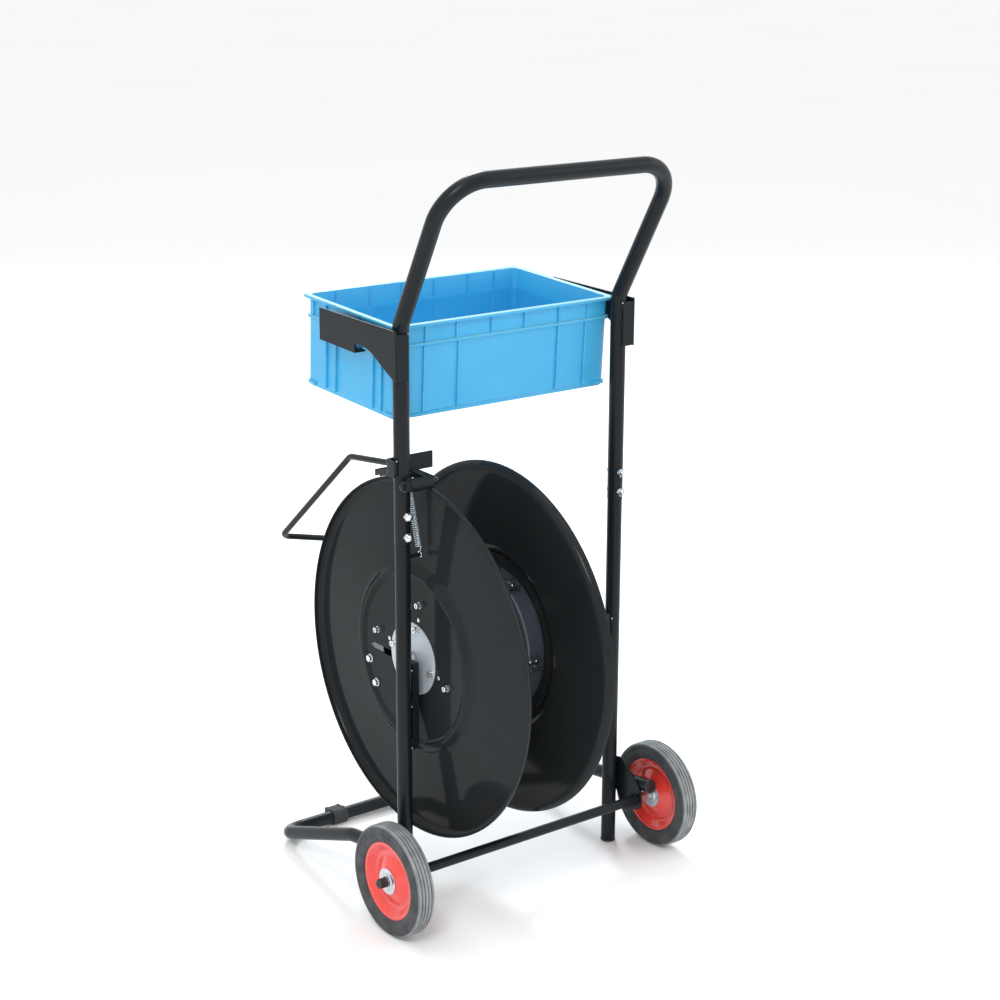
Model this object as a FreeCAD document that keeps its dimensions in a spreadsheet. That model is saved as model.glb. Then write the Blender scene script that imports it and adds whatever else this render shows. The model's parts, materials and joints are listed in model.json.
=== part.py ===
"""Steel and plastic strapping dispenser cart: a wheeled tube frame that carries a reel of strap between two
sheet discs, a sprung brake lever that the strap lifts, and a lift-off tool crate.

Frame: millimetres, +Z up, +X to the operator's right, +Y away from the operator towards the front foot.
The origin is on the floor, under the middle of the whole cart.
"""
import FreeCAD, Part
import math
import os
import re
import Sketcher

VECTOR = FreeCAD.Vector

SIZES = {
    # upright frame
    "post_y": -83.8, "post_x": 210, "upper_rad": 12.5, "upper_wall": 1.4,
    "lower_rad": 12, "lower_wall": 1.5, "swage_rad": 11,
    "upper_base": 605, "lower_top": 690, "bend_up": 938, "handle_up": 1160, "handle_back": 122,
    "handle_x": 215, "low_joint": 618.5, "high_joint": 651, "joint_rad": 4, "cap_thick": 3,
    # base tube
    "base_rad": 11, "base_wall": 1.6, "leg_x": 236, "bar_y": 332, "bar_up": 14, "kink_y": 112, "kink_up": 93,
    "leg_end_y": -74, "leg_end_up": 116.5, "pad_rad": 14, "pad_long": 27, "pad_x": 122, "plate_thick": 3,
    # axle and wheels
    "axle_y": -53, "axle_up": 89, "axle_rad": 6, "cross_rad": 8, "cross_bore": 6.5, "wheel_x": 268.7,
    "tyre_rad": 89, "axle_end": 298, "bearing_rad": 14, "bearing_bore": 6.08,
    # reel
    "reel_y": 25, "reel_up": 407, "disc_rad": 286, "lip_rad": 13, "sheet": 1.5, "ring_rad": 139.5,
    "left_edge": -159, "right_edge": -22.5, "left_ring": -180, "right_ring": -7.5,
    "left_face": -173.7, "right_face": -6.5, "core_rad": 118, "core_wall": 2, "hub_rad": 58, "hub_plate": 2,
    "shaft_rad": 8, "collar_rad": 10.5, "collar_long": 7, "hub_bore": 15, "hub_wall": 2,
    "screw_ring": 51, "bolt_ring": 95, "anchor_ring": 124, "hole_ring": 67,
    "slot_near": 52, "slot_far": 117, "slot_up": -11, "slot_half": 5.5,
    "bush_gap": 0.08, "bush_long": 22, "saddle_in": 187, "saddle_thick": 11, "saddle_low": 270,
    "saddle_top": 412,
    # brake
    "pivot_y": -22.7, "pivot_up": 701, "pivot_rad": 10, "rod_rad": 5, "rod_gap": 0.08, "rod_x": -160,
    "shoe_near": 18, "shoe_far": 112, "shoe_left": -183, "shoe_right": -145, "lining": 3, "shoe_gap": 0.45,
    "stud_up": 583, "spring_x": -178, "lining_left": -175, "hook_y": 30, "strip_low": 712, "strip_high": 738,
    # crate and its brackets
    "rim_y": 13.4, "rim_up": 933.8, "rim_x": 213.5, "crate_x": 3,
    "rim_deep": 258, "tray_slope": 0.056, "crate_high": 146,
    "rim_over": 8, "crate_wall": 2.5, "shelf_in": 210.5,
    "ledge_long": 19, "bracket_x": 227.5, "bracket_thick": 3,
    "shelf_drop": 50, "shelf_near": 78, "shelf_far": 174, "ledge_gap": 0.4,
}

doc = FreeCAD.newDocument("StrappingCart")
sheet = doc.addObject("Spreadsheet::Sheet", "sizes")
for row, (alias, size) in enumerate(SIZES.items(), start=1):
    sheet.set(f"A{row}", alias)
    sheet.set(f"B{row}", str(size))
    sheet.setAlias(f"B{row}", alias)
doc.recompute()

nodes = {}


def cells(formula):
    """Points each driving dimension named in a formula at its cell."""
    def cell(match):
        word = match.group()
        return "sizes." + word if word in SIZES else word
    return re.sub(r"[a-z_]+", cell, str(formula))


def value(formula):
    """The number a formula gives with the sheet's present dimensions."""
    return float(sheet.evalExpression(cells(formula)))


def node(label, piece):
    """Names a finished sub-part."""
    piece.Label = label
    nodes[label] = piece
    return piece


def place(piece, at, turn=None):
    """Binds a piece's position; turn is an axis and an angle in degrees."""
    rotation = FreeCAD.Rotation(VECTOR(*turn[0]), turn[1]) if turn else FreeCAD.Rotation()
    piece.Placement = FreeCAD.Placement(VECTOR(), rotation)
    for letter, formula in zip("xyz", at):
        piece.setExpression(f"Placement.Base.{letter}", cells(formula))
    return piece


def primitive(kind, name, sizes, at=(0, 0, 0), turn=None):
    piece = doc.addObject("Part::" + kind, name)
    for key, formula in sizes.items():
        piece.setExpression(key, cells(formula))
    return place(piece, at, turn)


ALONG_X = ((0, 1, 0), 90)
ALONG_Y = ((1, 0, 0), -90)


def rod(name, radius, length, at, turn=ALONG_X):
    """A round bar from a point on its axis."""
    return primitive("Cylinder", name, {"Radius": radius, "Height": length}, at, turn)


def box(name, length, width, height, at):
    return primitive("Box", name, {"Length": length, "Width": width, "Height": height}, at)


def hexagon(name, across, length, at, turn=ALONG_X):
    """A hexagonal prism, across its flats."""
    piece = primitive("Prism", name, {"Circumradius": f"({across}) / 1.7321", "Height": length}, at, turn)
    piece.Polygon = 6
    return piece


def cut(name, base, tool):
    piece = doc.addObject("Part::Cut", name)
    piece.Base, piece.Tool = base, tool
    return piece


def fuse(name, pieces):
    piece = doc.addObject("Part::MultiFuse", name)
    piece.Shapes = pieces
    return piece


def group(name, pieces):
    """Separate solids that share one node."""
    piece = doc.addObject("Part::Compound", name)
    piece.Links = pieces
    return piece


def ring(name, outer, inner, length, at, turn=ALONG_X):
    """A washer, bush or collar."""
    blank = rod(name + "_outer", outer, length, at, turn)
    return cut(name, blank, rod(name + "_bore", inner, length, at, turn))


def origin_part(body, role):
    return next(part for part in body.Origin.OriginFeatures if part.Role == role)


def new_body(label, at=(0, 0, 0)):
    body = doc.addObject("PartDesign::Body", label)
    place(body, at)
    return node(label, body)


def new_sketch(body, plane, name, offset=None):
    sketch = body.newObject("Sketcher::SketchObject", name)
    sketch.AttachmentSupport = [(origin_part(body, plane), "")]
    sketch.MapMode = "FlatFace"
    if offset is not None:
        sketch.setExpression("AttachmentOffset.Base.z", cells(offset))
    return sketch


def outline(sketch, corners):
    """A closed outline with each corner bound to the sheet."""
    points = [VECTOR(value(across), value(up), 0) for across, up in corners]
    first = sketch.GeometryCount
    total = len(points)
    for index in range(total):
        sketch.addGeometry(Part.LineSegment(points[index], points[(index + 1) % total]), False)
    for index in range(total):
        after = first + (index + 1) % total
        sketch.addConstraint(Sketcher.Constraint("Coincident", first + index, 2, after, 1))
    for index, (across, up) in enumerate(corners):
        line = first + index
        point = points[index]
        for kind, formula, size in (("DistanceX", across, point.x), ("DistanceY", up, point.y)):
            number = sketch.addConstraint(Sketcher.Constraint(kind, -1, 1, line, 1, size))
            sketch.setExpression(f"Constraints[{number}]", cells(formula))
    return sketch


def circle(sketch, across, up, radius):
    centre = VECTOR(value(across), value(up), 0)
    number = sketch.addGeometry(Part.Circle(centre, VECTOR(0, 0, 1), value(radius)), False)
    rules = (("DistanceX", across), ("DistanceY", up))
    for kind, formula in rules:
        rule = sketch.addConstraint(Sketcher.Constraint(kind, -1, 1, number, 3, value(formula)))
        sketch.setExpression(f"Constraints[{rule}]", cells(formula))
    rule = sketch.addConstraint(Sketcher.Constraint("Radius", number, value(radius)))
    sketch.setExpression(f"Constraints[{rule}]", cells(radius))
    return sketch


def pad(body, sketch, length, name, backwards=False, middle=False):
    feature = body.newObject("PartDesign::Pad", name)
    feature.Profile = sketch
    feature.setExpression("Length", cells(length))
    feature.Reversed = backwards
    feature.Midplane = middle
    return feature


def pocket_through(body, sketch, name):
    feature = body.newObject("PartDesign::Pocket", name)
    feature.Profile = sketch
    feature.Type = "ThroughAll"
    feature.Midplane = True
    return feature


def lathe(label, at, corners):
    """A turned or pressed round piece: corners are (place along X, radius)."""
    body = new_body(label, at)
    sketch = outline(new_sketch(body, "XY_Plane", label + "_profile"), corners)
    turned = body.newObject("PartDesign::Revolution", label + "_turned")
    turned.Profile = sketch
    turned.ReferenceAxis = (origin_part(body, "X_Axis"), [""])
    turned.Angle = 360
    return body


def ring_holes(body, ring_radius, hole_radius, angle, name, count=4):
    """Equally spaced through holes about the body's X axis."""
    doc.recompute()
    sketch = new_sketch(body, "YZ_Plane", name + "_circle")
    turn = math.radians(angle)
    circle(sketch, f"({ring_radius}) * {math.cos(turn):.6f}", f"({ring_radius}) * {math.sin(turn):.6f}",
           hole_radius)
    first = pocket_through(body, sketch, name)
    pattern = body.newObject("PartDesign::PolarPattern", name + "_pattern")
    pattern.Originals = [first]
    pattern.Axis = (origin_part(body, "X_Axis"), [""])
    pattern.Angle = 360
    pattern.Occurrences = count
    body.Tip = pattern


def rounded_path(points, radii):
    """Straight runs joined by tangent arcs, one radius for each inner point."""
    edges = []
    start = points[0]
    for index in range(1, len(points) - 1):
        corner = points[index]
        back = (points[index - 1] - corner).normalize()
        ahead = (points[index + 1] - corner).normalize()
        half = back.getAngle(ahead) / 2
        reach = radii[index - 1] / math.tan(half)
        enter, leave = corner + back * reach, corner + ahead * reach
        bisector = (back + ahead).normalize()
        middle = corner + bisector * (radii[index - 1] / math.sin(half) - radii[index - 1])
        edges.append(Part.LineSegment(start, enter).toShape())
        edges.append(Part.Arc(enter, middle, leave).toShape())
        start = leave
    edges.append(Part.LineSegment(start, points[-1]).toShape())
    return Part.Wire(edges)


def bent_bar(path, radius):
    """A solid bar swept along a path."""
    edge = path.Edges[0]
    start = edge.Vertexes[0].Point
    section = Part.Wire([Part.Circle(start, edge.tangentAt(edge.FirstParameter), radius).toShape()])
    return path.makePipeShell([section], True, False)


def free_shape(label, shape):
    piece = doc.addObject("Part::Feature", label)
    piece.Shape = shape
    return node(label, piece)


def from_posts(across, deep, up):
    """A point given from the plane of the posts, in the cart's frame."""
    return VECTOR(value(across), value("post_y") + value(deep), value(up))


SIDES = (("left", -1), ("right", 1))
BACK_TO_FRONT = VECTOR(0, 1, 0)


def lower_posts():
    for side, sign in SIDES:
        body = new_body(f"{side}_lower_post", (f"{sign} * post_x", "post_y", "cap_thick"))
        section = new_sketch(body, "XY_Plane", side + "_post_section")
        circle(section, 0, 0, "lower_rad")
        circle(section, 0, 0, "lower_rad - lower_wall")
        pad(body, section, "upper_base - 0.5 - cap_thick", side + "_post_pad")
        doc.recompute()
        swaged = new_sketch(body, "XY_Plane", side + "_swage_section", "upper_base - 3.5 - cap_thick")
        circle(swaged, 0, 0, "swage_rad")
        circle(swaged, 0, 0, "swage_rad - lower_wall")
        pad(body, swaged, "lower_top - upper_base + 3.5", side + "_swage_pad")
        doc.recompute()
        holes = new_sketch(body, "XZ_Plane", side + "_post_holes")
        for height in ("low_joint", "high_joint"):
            circle(holes, 0, f"{height} - cap_thick", "joint_rad + 0.1")
        pocket_through(body, holes, side + "_post_drilled")
        body.Tip = body.Group[-1]


def handle():
    """One tube: up both posts, back at the bends, and across the top as the push bar."""
    corners = [from_posts(-value("post_x"), 0, "upper_base"), from_posts(-value("post_x"), 0, "bend_up"),
               from_posts(-value("handle_x"), -value("handle_back"), "handle_up"),
               from_posts("handle_x", -value("handle_back"), "handle_up"),
               from_posts("post_x", 0, "bend_up"), from_posts("post_x", 0, "upper_base")]
    path = rounded_path(corners, (30, 68, 68, 30))
    tube = bent_bar(path, value("upper_rad")).cut(bent_bar(path, value("upper_rad - upper_wall")))
    for sign in (-1, 1):
        for height in ("low_joint", "high_joint"):
            start = from_posts(sign * value("post_x"), -20, height)
            tube = tube.cut(Part.makeCylinder(value("joint_rad") + 0.1, 40, start, BACK_TO_FRONT))
    free_shape("handle_tube", tube)


def joint_bolts():
    """Four low-head bolts through the telescoped tubes, with dome nuts towards the operator."""
    bolts, nuts = [], []
    for side, sign in SIDES:
        for level in ("low_joint", "high_joint"):
            name = f"{side}_{level}"
            across, up = f"{sign} * post_x", level
            shank = rod(name + "_shank", "joint_rad", "2 * upper_rad + 7",
                        (across, "post_y - upper_rad - 7", up), ALONG_Y)
            head = rod(name + "_head", 5.5, 2.2, (across, "post_y + upper_rad", up), ALONG_Y)
            bolts.append(fuse(name + "_bolt", [shank, head]))
            seat = "post_y - upper_rad - 6"
            flats = hexagon(name + "_flats", 13, 6, (across, seat, up), ALONG_Y)
            dome = primitive("Sphere", name + "_dome", {"Radius": 5.9}, (across, seat, up))
            bore = rod(name + "_nut_bore", "joint_rad + 0.05", 8.2, (across, f"{seat} - 2.2", up), ALONG_Y)
            nuts.append(cut(name + "_nut", fuse(name + "_nut_blank", [flats, dome]), bore))
    node("post_joint_bolts", group("joint_bolt_group", bolts))
    node("post_joint_nuts", group("joint_nut_group", nuts))


def foot_caps():
    """Plastic plugs that close the posts at the floor."""
    caps = []
    for side, sign in SIDES:
        at = (f"{sign} * post_x", "post_y", 0)
        sole = rod(side + "_sole", "lower_rad + 0.6", "cap_thick", at, ((0, 0, 1), 0))
        plug = rod(side + "_plug", "lower_rad - lower_wall - 0.1", "cap_thick + 14", at, ((0, 0, 1), 0))
        caps.append(fuse(side + "_foot_cap", [sole, plug]))
    node("post_foot_caps", group("foot_cap_group", caps))


def base():
    """One tube bent to a U: low bar in front, legs that rise past the posts to the rear."""
    def leg(sign):
        across = sign * value("leg_x")
        return [from_posts(across, "leg_end_y", "leg_end_up"), from_posts(across, "kink_y", "kink_up"),
                from_posts(across, "bar_y", "bar_up")]
    path = rounded_path(leg(-1) + leg(1)[::-1], (70, 42, 42, 70))
    tube = bent_bar(path, value("base_rad")).cut(bent_bar(path, value("base_rad - base_wall")))
    free_shape("base_tube", tube)

    slope = math.degrees(math.atan((value("leg_end_up") - value("kink_up")) / (value("kink_y - leg_end_y"))))
    caps = []
    for side, sign in SIDES:
        at = (f"{sign} * leg_x", "post_y + leg_end_y", "leg_end_up")
        outward = ((1, 0, 0), 90 - slope)
        inward = ((1, 0, 0), -90 - slope)
        flange = rod(side + "_end_flange", "base_rad + 0.7", 3, at, outward)
        plug = rod(side + "_end_plug", "base_rad - base_wall - 0.1", 14, at, inward)
        caps.append(fuse(side + "_end_cap", [flange, plug]))
    node("base_end_caps", group("end_cap_group", caps))


def front_pads():
    """Rubber sleeves that the front bar stands on, each with a lug in front."""
    pads = []
    for side, sign in SIDES:
        start = f"{sign} * pad_x - pad_long / 2"
        sleeve = rod(side + "_sleeve", "pad_rad", "pad_long", (start, "post_y + bar_y", "bar_up"))
        lug = box(side + "_lug", "pad_long - 4", "pad_rad + 6", "2 * pad_rad - 2",
                  (f"{start} + {-2 if sign < 0 else 6}", "post_y + bar_y", 0))
        bore = rod(side + "_sleeve_bore", "base_rad + 0.05", "pad_long + 20",
                   (f"{start} - 10", "post_y + bar_y", "bar_up"))
        pads.append(cut(side + "_pad", fuse(side + "_pad_blank", [sleeve, lug]), bore))
    node("front_foot_pads", group("pad_group", pads))


def axle_plates():
    """Gussets that hold the axle behind the posts."""
    corners = ((0, 150), (-16, 152), (-45, 131), (-58, 117), (-67, 100), (-68, 86), (-62, 76), (-50, 70.5),
               (-22, 70), (-6, 92), (0, 97))
    for side, sign in SIDES:
        body = new_body(f"{side}_axle_plate", (f"{sign} * (post_x + lower_rad)", "post_y", 0))
        sketch = outline(new_sketch(body, "YZ_Plane", side + "_plate_outline"), corners)
        circle(sketch, "axle_y", "axle_up", "axle_rad + 0.1")
        pad(body, sketch, "plate_thick", side + "_plate_pad", backwards=sign < 0)


def axle():
    start = "post_x + lower_rad"
    at = (f"-({start})", "post_y + axle_y", "axle_up")
    node("cross_tube", ring("cross_tube_ring", "cross_rad", "cross_bore", f"2 * ({start})", at))
    node("axle_rod", rod("axle_bar", "axle_rad", "2 * (axle_end - 4)",
                         ("-(axle_end - 4)", "post_y + axle_y", "axle_up")))
    spacers, washers, caps = [], [], []
    for side, sign in SIDES:
        plate_out = "post_x + lower_rad + plate_thick"
        low = {1: (plate_out, "wheel_x + 12.4", "wheel_x + 15.6"),
               -1: ("-(wheel_x - 12.4)", "-(wheel_x + 15.2)", "-axle_end")}[sign]
        height = ("post_y + axle_y", "axle_up")
        spacers.append(ring(side + "_spacer", 8, "axle_rad + 0.1", f"wheel_x - 12.4 - ({plate_out})",
                            (low[0],) + height))
        washers.append(ring(side + "_washer", 8, "axle_rad + 0.1", 2.8, (low[1],) + height))
        cap = rod(side + "_cap_blank", 8, "axle_end - wheel_x - 15.6", (low[2],) + height)
        hollow = rod(side + "_cap_hollow", "axle_rad + 0.05", "axle_end - 4 - wheel_x - 15.6",
                     (f"{sign} * wheel_x + {15.6 if sign > 0 else 0} - {0 if sign > 0 else 1} *"
                      " (axle_end - 4 - wheel_x)",) + height)
        caps.append(cut(side + "_axle_cap", cap, hollow))
    node("axle_spacers", group("spacer_group", spacers))
    node("axle_washers", group("washer_group", washers))
    node("axle_end_caps", group("axle_cap_group", caps))


def tyre_half():
    """Section of one side of the tyre, from the rim seat to the crown."""
    seat = [(0, 47.7), (10.1, 58.2), (10.1, 62.1), (12.2, 62.1), (15.2, 66), (16.3, 73), (15.6, 82),
            (14.5, 86)]
    tread = [(12.6, 88.4), (8.6, "tyre_rad"), (8.2, 86.6), (6.2, 86.6), (5.8, "tyre_rad"), (1.2, "tyre_rad"),
             (1.0, 86.8), (0, 86.8)]
    return seat + tread


def rim_half():
    """Section of one pressed half of the rim: hub seat, cone, web and tyre flange."""
    return [(10.3, 15.7), (10.3, 20.2), (0.05, 40.2), (0.05, 47.5), (10.2, 58), (10.2, 62),
            (12, 62), (12, 57.3), (1.6, 46.9), (1.6, 40.6), (11.8, 20.6), (11.8, 15.7)]


def wheels():
    for side, sign in SIDES:
        at = (f"{sign} * wheel_x", "post_y + axle_y", "axle_up")
        half = tyre_half()
        mirrored = [(f"-{across}", up) for across, up in half[1:-1]][::-1]
        lathe(f"{side}_tyre", at, half + mirrored)
        for face, direction in (("outer", sign), ("inner", -sign)):
            corners = [(f"{direction} * {across}", up) for across, up in rim_half()]
            lathe(f"{side}_rim_{face}_half", at, corners)
        lathe(f"{side}_wheel_hub", at, [(-11.9, "bearing_rad"), (11.9, "bearing_rad"), (11.9, 15.6),
                                        (-11.9, 15.6)])
        bearings, covers = [], []
        for face, start, cover_start in (("a", -11.9, -13.2), ("b", 3.9, 12)):
            name = f"{side}_cover_{face}"
            centre = f"{sign} * wheel_x"
            bearings.append(ring(f"{side}_bearing_{face}", "bearing_rad - 0.02", "bearing_bore", 8,
                                 (f"{centre} + ({start})",) + at[1:]))
            flange = rod(name + "_disc", 21, 1.2, (f"{centre} + ({cover_start})",) + at[1:])
            collar_start = -15 if face == "a" else 12
            collar = rod(name + "_collar", 12, 3, (f"{centre} + ({collar_start})",) + at[1:])
            bore = rod(name + "_bore", 8.6, 40, (f"{centre} - 20",) + at[1:])
            covers.append(cut(name, fuse(name + "_blank", [flange, collar]), bore))
        node(f"{side}_wheel_bearings", group(side + "_bearing_group", bearings))
        node(f"{side}_bearing_covers", group(side + "_cover_group", covers))


def saddles():
    """Plates inside the posts with an open notch that the reel's shaft drops into."""
    eighth = "(shaft_rad + 0.1) * 0.4142"
    corners = (("-8", "saddle_low"), ("6", "saddle_low"), ("38", "saddle_low + 66"), ("38", "saddle_top"),
               ("reel_y + shaft_rad + 0.1", "saddle_top"),
               ("reel_y + shaft_rad + 0.1", f"reel_up - {eighth}"),
               (f"reel_y + {eighth}", "reel_up - shaft_rad - 0.1"),
               (f"reel_y - {eighth}", "reel_up - shaft_rad - 0.1"),
               ("reel_y - shaft_rad - 0.1", f"reel_up - {eighth}"),
               ("reel_y - shaft_rad - 0.1", "saddle_top"),
               ("-8", "saddle_top"))
    for side, sign in SIDES:
        body = new_body(f"{side}_shaft_saddle", (f"{sign} * (post_x - lower_rad)", "post_y", 0))
        sketch = outline(new_sketch(body, "YZ_Plane", side + "_saddle_outline"), corners)
        pad(body, sketch, "saddle_thick", side + "_saddle_pad", backwards=sign > 0)


def shaft():
    height = ("post_y + reel_y", "reel_up")
    half = "(post_x - lower_rad)"
    node("reel_shaft", rod("shaft_bar", "shaft_rad", f"2 * {half}", (f"-{half}",) + height))
    stops = []
    for side, start, length in (("left", "-(saddle_in - 0.4)", "saddle_in + left_face - hub_plate - 0.8"),
                                ("right", "right_face + hub_plate + 0.4", 12)):
        stops.append(ring(side + "_stop_collar", "collar_rad", "shaft_rad + 0.05", length, (start,) + height))
    node("reel_stop_collars", group("stop_collar_group", stops))
    start = "saddle_in - 0.4 - collar_long"
    thrust = ring("thrust_collar", "collar_rad", "shaft_rad + 0.05", "collar_long", (start,) + height)
    node("shaft_thrust_collar", thrust)


LIP_TURNS = (180, 165, 150, 135, 120, 105, 90)


def lip(edge, out, radius, turns):
    """Corners round the flared lip; a turn of 180 points towards the core and 90 points outward."""
    corners = []
    for turn in turns:
        along, up = math.cos(math.radians(turn)), math.sin(math.radians(turn))
        corners.append((f"{edge} + {out} * lip_rad + {out} * ({radius}) * {along:.5f}",
                        f"disc_rad - lip_rad + ({radius}) * {up:.5f}"))
    return corners


def disc_section(edge, rim, face, out):
    """Section of a pressed disc that ends in a flared lip; out is +1 or -1, the side of its outer face."""
    thick = f"{out} * sheet"
    front = [(face, "hub_bore + hub_wall + 0.1"), (face, "ring_rad - 8"),
             (f"{rim} - {out} * 1.2", "ring_rad - 4"), (rim, "ring_rad - 1.5"),
             (f"{rim} - {out} * 1.0", "ring_rad + 3"), (f"{rim} - {out} * 9.7", "ring_rad + 9")]
    back = [(f"{rim} - {out} * 9.7 - {thick}", "ring_rad + 9"),
            (f"{rim} - {out} * 1.0 - {thick}", "ring_rad + 2"), (f"{rim} - {thick}", "ring_rad - 1.5"),
            (f"{rim} - {out} * 1.2 - {thick}", "ring_rad - 3.4"), (f"{face} - {thick}", "ring_rad - 7.4"),
            (f"{face} - {thick}", "hub_bore + hub_wall + 0.1")]
    hollow = lip(edge, out, "lip_rad - sheet", LIP_TURNS)
    round_side = lip(edge, out, "lip_rad", LIP_TURNS[::-1])
    return front + hollow + round_side + back


def strap_slot(disc):
    """Long slot that the strap's inner end goes through, from the hub plate to just outside the core."""
    near, far, low, high = "slot_near", "slot_far", "slot_up - slot_half", "slot_up + slot_half"
    corner = "slot_half * 0.6"
    sketch = outline(new_sketch(disc, "YZ_Plane", "slot_outline"),
                     ((near, low), (f"{far} - {corner}", low), (far, f"{low} + {corner}"),
                      (far, f"{high} - {corner}"), (f"{far} - {corner}", high), (near, high)))
    disc.Tip = pocket_through(disc, sketch, "slot_cut")


SCREW_ANGLE = 12
BOLT_ANGLE = 13
ANCHOR_ANGLES = (-16.5, -35.0)


def reel():
    at = (0, "post_y + reel_y", "reel_up")
    axis = at[1:]
    left_in, right_in = "left_face + sheet", "right_face - sheet"
    screws, bolts, nuts = [], [], []
    for side, edge, rim, face, out in (("left", "left_edge", "left_ring", "left_face", -1),
                                       ("right", "right_edge", "right_ring", "right_face", 1)):
        disc = lathe(f"{side}_disc", at, disc_section(edge, rim, face, out))
        ring_holes(disc, "screw_ring", 3.1, SCREW_ANGLE, side + "_screw_hole")
        ring_holes(disc, "bolt_ring", 3.1, BOLT_ANGLE, side + "_bolt_hole")
        ring_holes(disc, "hole_ring", 3.5, SCREW_ANGLE, side + "_index_hole")
        if side == "left":
            for number, angle in enumerate(ANCHOR_ANGLES):
                ring_holes(disc, "anchor_ring", 3.1, angle, f"anchor_hole_{number}", count=1)
            strap_slot(disc)
        plate_out = f"{face} + {out} * hub_plate"
        plate = lathe(f"{side}_hub_plate", at, [(face, "shaft_rad + 0.3"), (face, "hub_rad"),
                                                (plate_out, "hub_rad"), (plate_out, "shaft_rad + 0.3")])
        ring_holes(plate, "screw_ring", 3.1, SCREW_ANGLE, side + "_plate_hole")
        for number in range(4):
            screws.append(screw_at(f"{side}_screw_{number}", plate_out, out, axis, "screw_ring",
                                   SCREW_ANGLE + 90 * number, 5, 6.5, 5.6))
            bolts.append(screw_at(f"{side}_bolt_{number}", face, out, axis, "bolt_ring",
                                  BOLT_ANGLE + 90 * number, 4.6, 10.5, 4.0))
            nuts.append(nut_at(f"{side}_nut_{number}", face, out, axis, "bolt_ring",
                               BOLT_ANGLE + 90 * number))
    node("hub_screws", group("hub_screw_group", screws))
    node("disc_bolts", group("disc_bolt_group", bolts))
    node("disc_nuts", group("disc_nut_group", nuts))

    core = lathe("core_drum", at, [(left_in, "core_rad - 32"), (left_in, "core_rad"), (right_in, "core_rad"),
                                   (right_in, "core_rad - 32"), (f"{right_in} - core_wall", "core_rad - 32"),
                                   (f"{right_in} - core_wall", "core_rad - core_wall"),
                                   (f"{left_in} + core_wall", "core_rad - core_wall"),
                                   (f"{left_in} + core_wall", "core_rad - 32")])
    ring_holes(core, "bolt_ring", 3.1, BOLT_ANGLE, "core_hole")
    tube = "hub_bore + hub_wall"
    spool = lathe("hub_spool", at, [("left_face", "hub_bore"), ("right_face", "hub_bore"),
                                    ("right_face", tube), (right_in, tube), (right_in, "hub_rad"),
                                    (f"{right_in} - 4", "hub_rad"), (f"{right_in} - 4", tube),
                                    (f"{left_in} + 4", tube), (f"{left_in} + 4", "hub_rad"),
                                    (left_in, "hub_rad"), (left_in, tube), ("left_face", tube)])
    ring_holes(spool, "screw_ring", 3.1, SCREW_ANGLE, "spool_hole")
    bushes = []
    for side, start in (("left", "left_face + 0.05"), ("right", "right_face - 0.05 - bush_long")):
        bushes.append(ring(side + "_bush", "hub_bore - 0.05", "shaft_rad + bush_gap", "bush_long",
                           (start,) + axis))
    node("hub_bushes", group("bush_group", bushes))


def around(axis, ring_radius, angle):
    """Where a fastener sits on a ring about the reel's axis."""
    turn = math.radians(angle)
    return (f"{axis[0]} + ({ring_radius}) * {math.cos(turn):.6f}",
            f"{axis[1]} + ({ring_radius}) * {math.sin(turn):.6f}")


def screw_at(name, seat, out, axis, ring_radius, angle, head_radius, head_top, head_high):
    """A socket cap screw along X; its head stands from head_top - head_high to head_top outside its seat."""
    centre = around(axis, ring_radius, angle)
    tip = 9
    low = f"{seat} - {head_top}" if out < 0 else f"{seat} + {head_top - head_high}"
    head = rod(name + "_head", head_radius, head_high, (low,) + centre)
    shank_low = f"{seat} - {head_top - head_high / 2}" if out < 0 else f"{seat} - {tip}"
    shank = rod(name + "_shank", 3, head_top - head_high / 2 + tip, (shank_low,) + centre)
    socket_low = f"{seat} - {head_top}" if out < 0 else f"{seat} + {head_top - 2.5}"
    socket = hexagon(name + "_socket", 4, 2.5, (socket_low,) + centre)
    return cut(name, fuse(name + "_blank", [head, shank]), socket)


def nut_at(name, seat, out, axis, ring_radius, angle):
    centre = around(axis, ring_radius, angle)
    low = f"{seat} - 5" if out < 0 else f"{seat}"
    blank = hexagon(name + "_flats", 10, 5, (low,) + centre)
    return cut(name, blank, rod(name + "_bore", 3.05, 9, (f"{low} - 2",) + centre))


def strap_clips():
    """Curled clips on the core, one for each way round, that hold the strap's first turn."""
    root = "-(core_rad + 0.05)"
    corners = ((root, -9), (root, 2), (f"{root} - 11", 4.5), (f"{root} - 11", 2.7), (f"{root} - 2.6", 0.5),
               (f"{root} - 5.5", -8), (f"{root} - 9.5", -15), (f"{root} - 7.9", -16), (f"{root} - 4.2", -9.5),
               (f"{root} - 2", -9))
    clips = []
    for name, turn in (("upper", -62), ("lower", 0)):
        body = doc.addObject("PartDesign::Body", name + "_clip")
        place(body, (0, "post_y + reel_y", "reel_up"), ((1, 0, 0), turn))
        sketch = outline(new_sketch(body, "YZ_Plane", name + "_clip_outline", "-42"), corners)
        pad(body, sketch, 22, name + "_clip_pad")
        clips.append(body)
    node("strap_clips", group("clip_group", clips))


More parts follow.
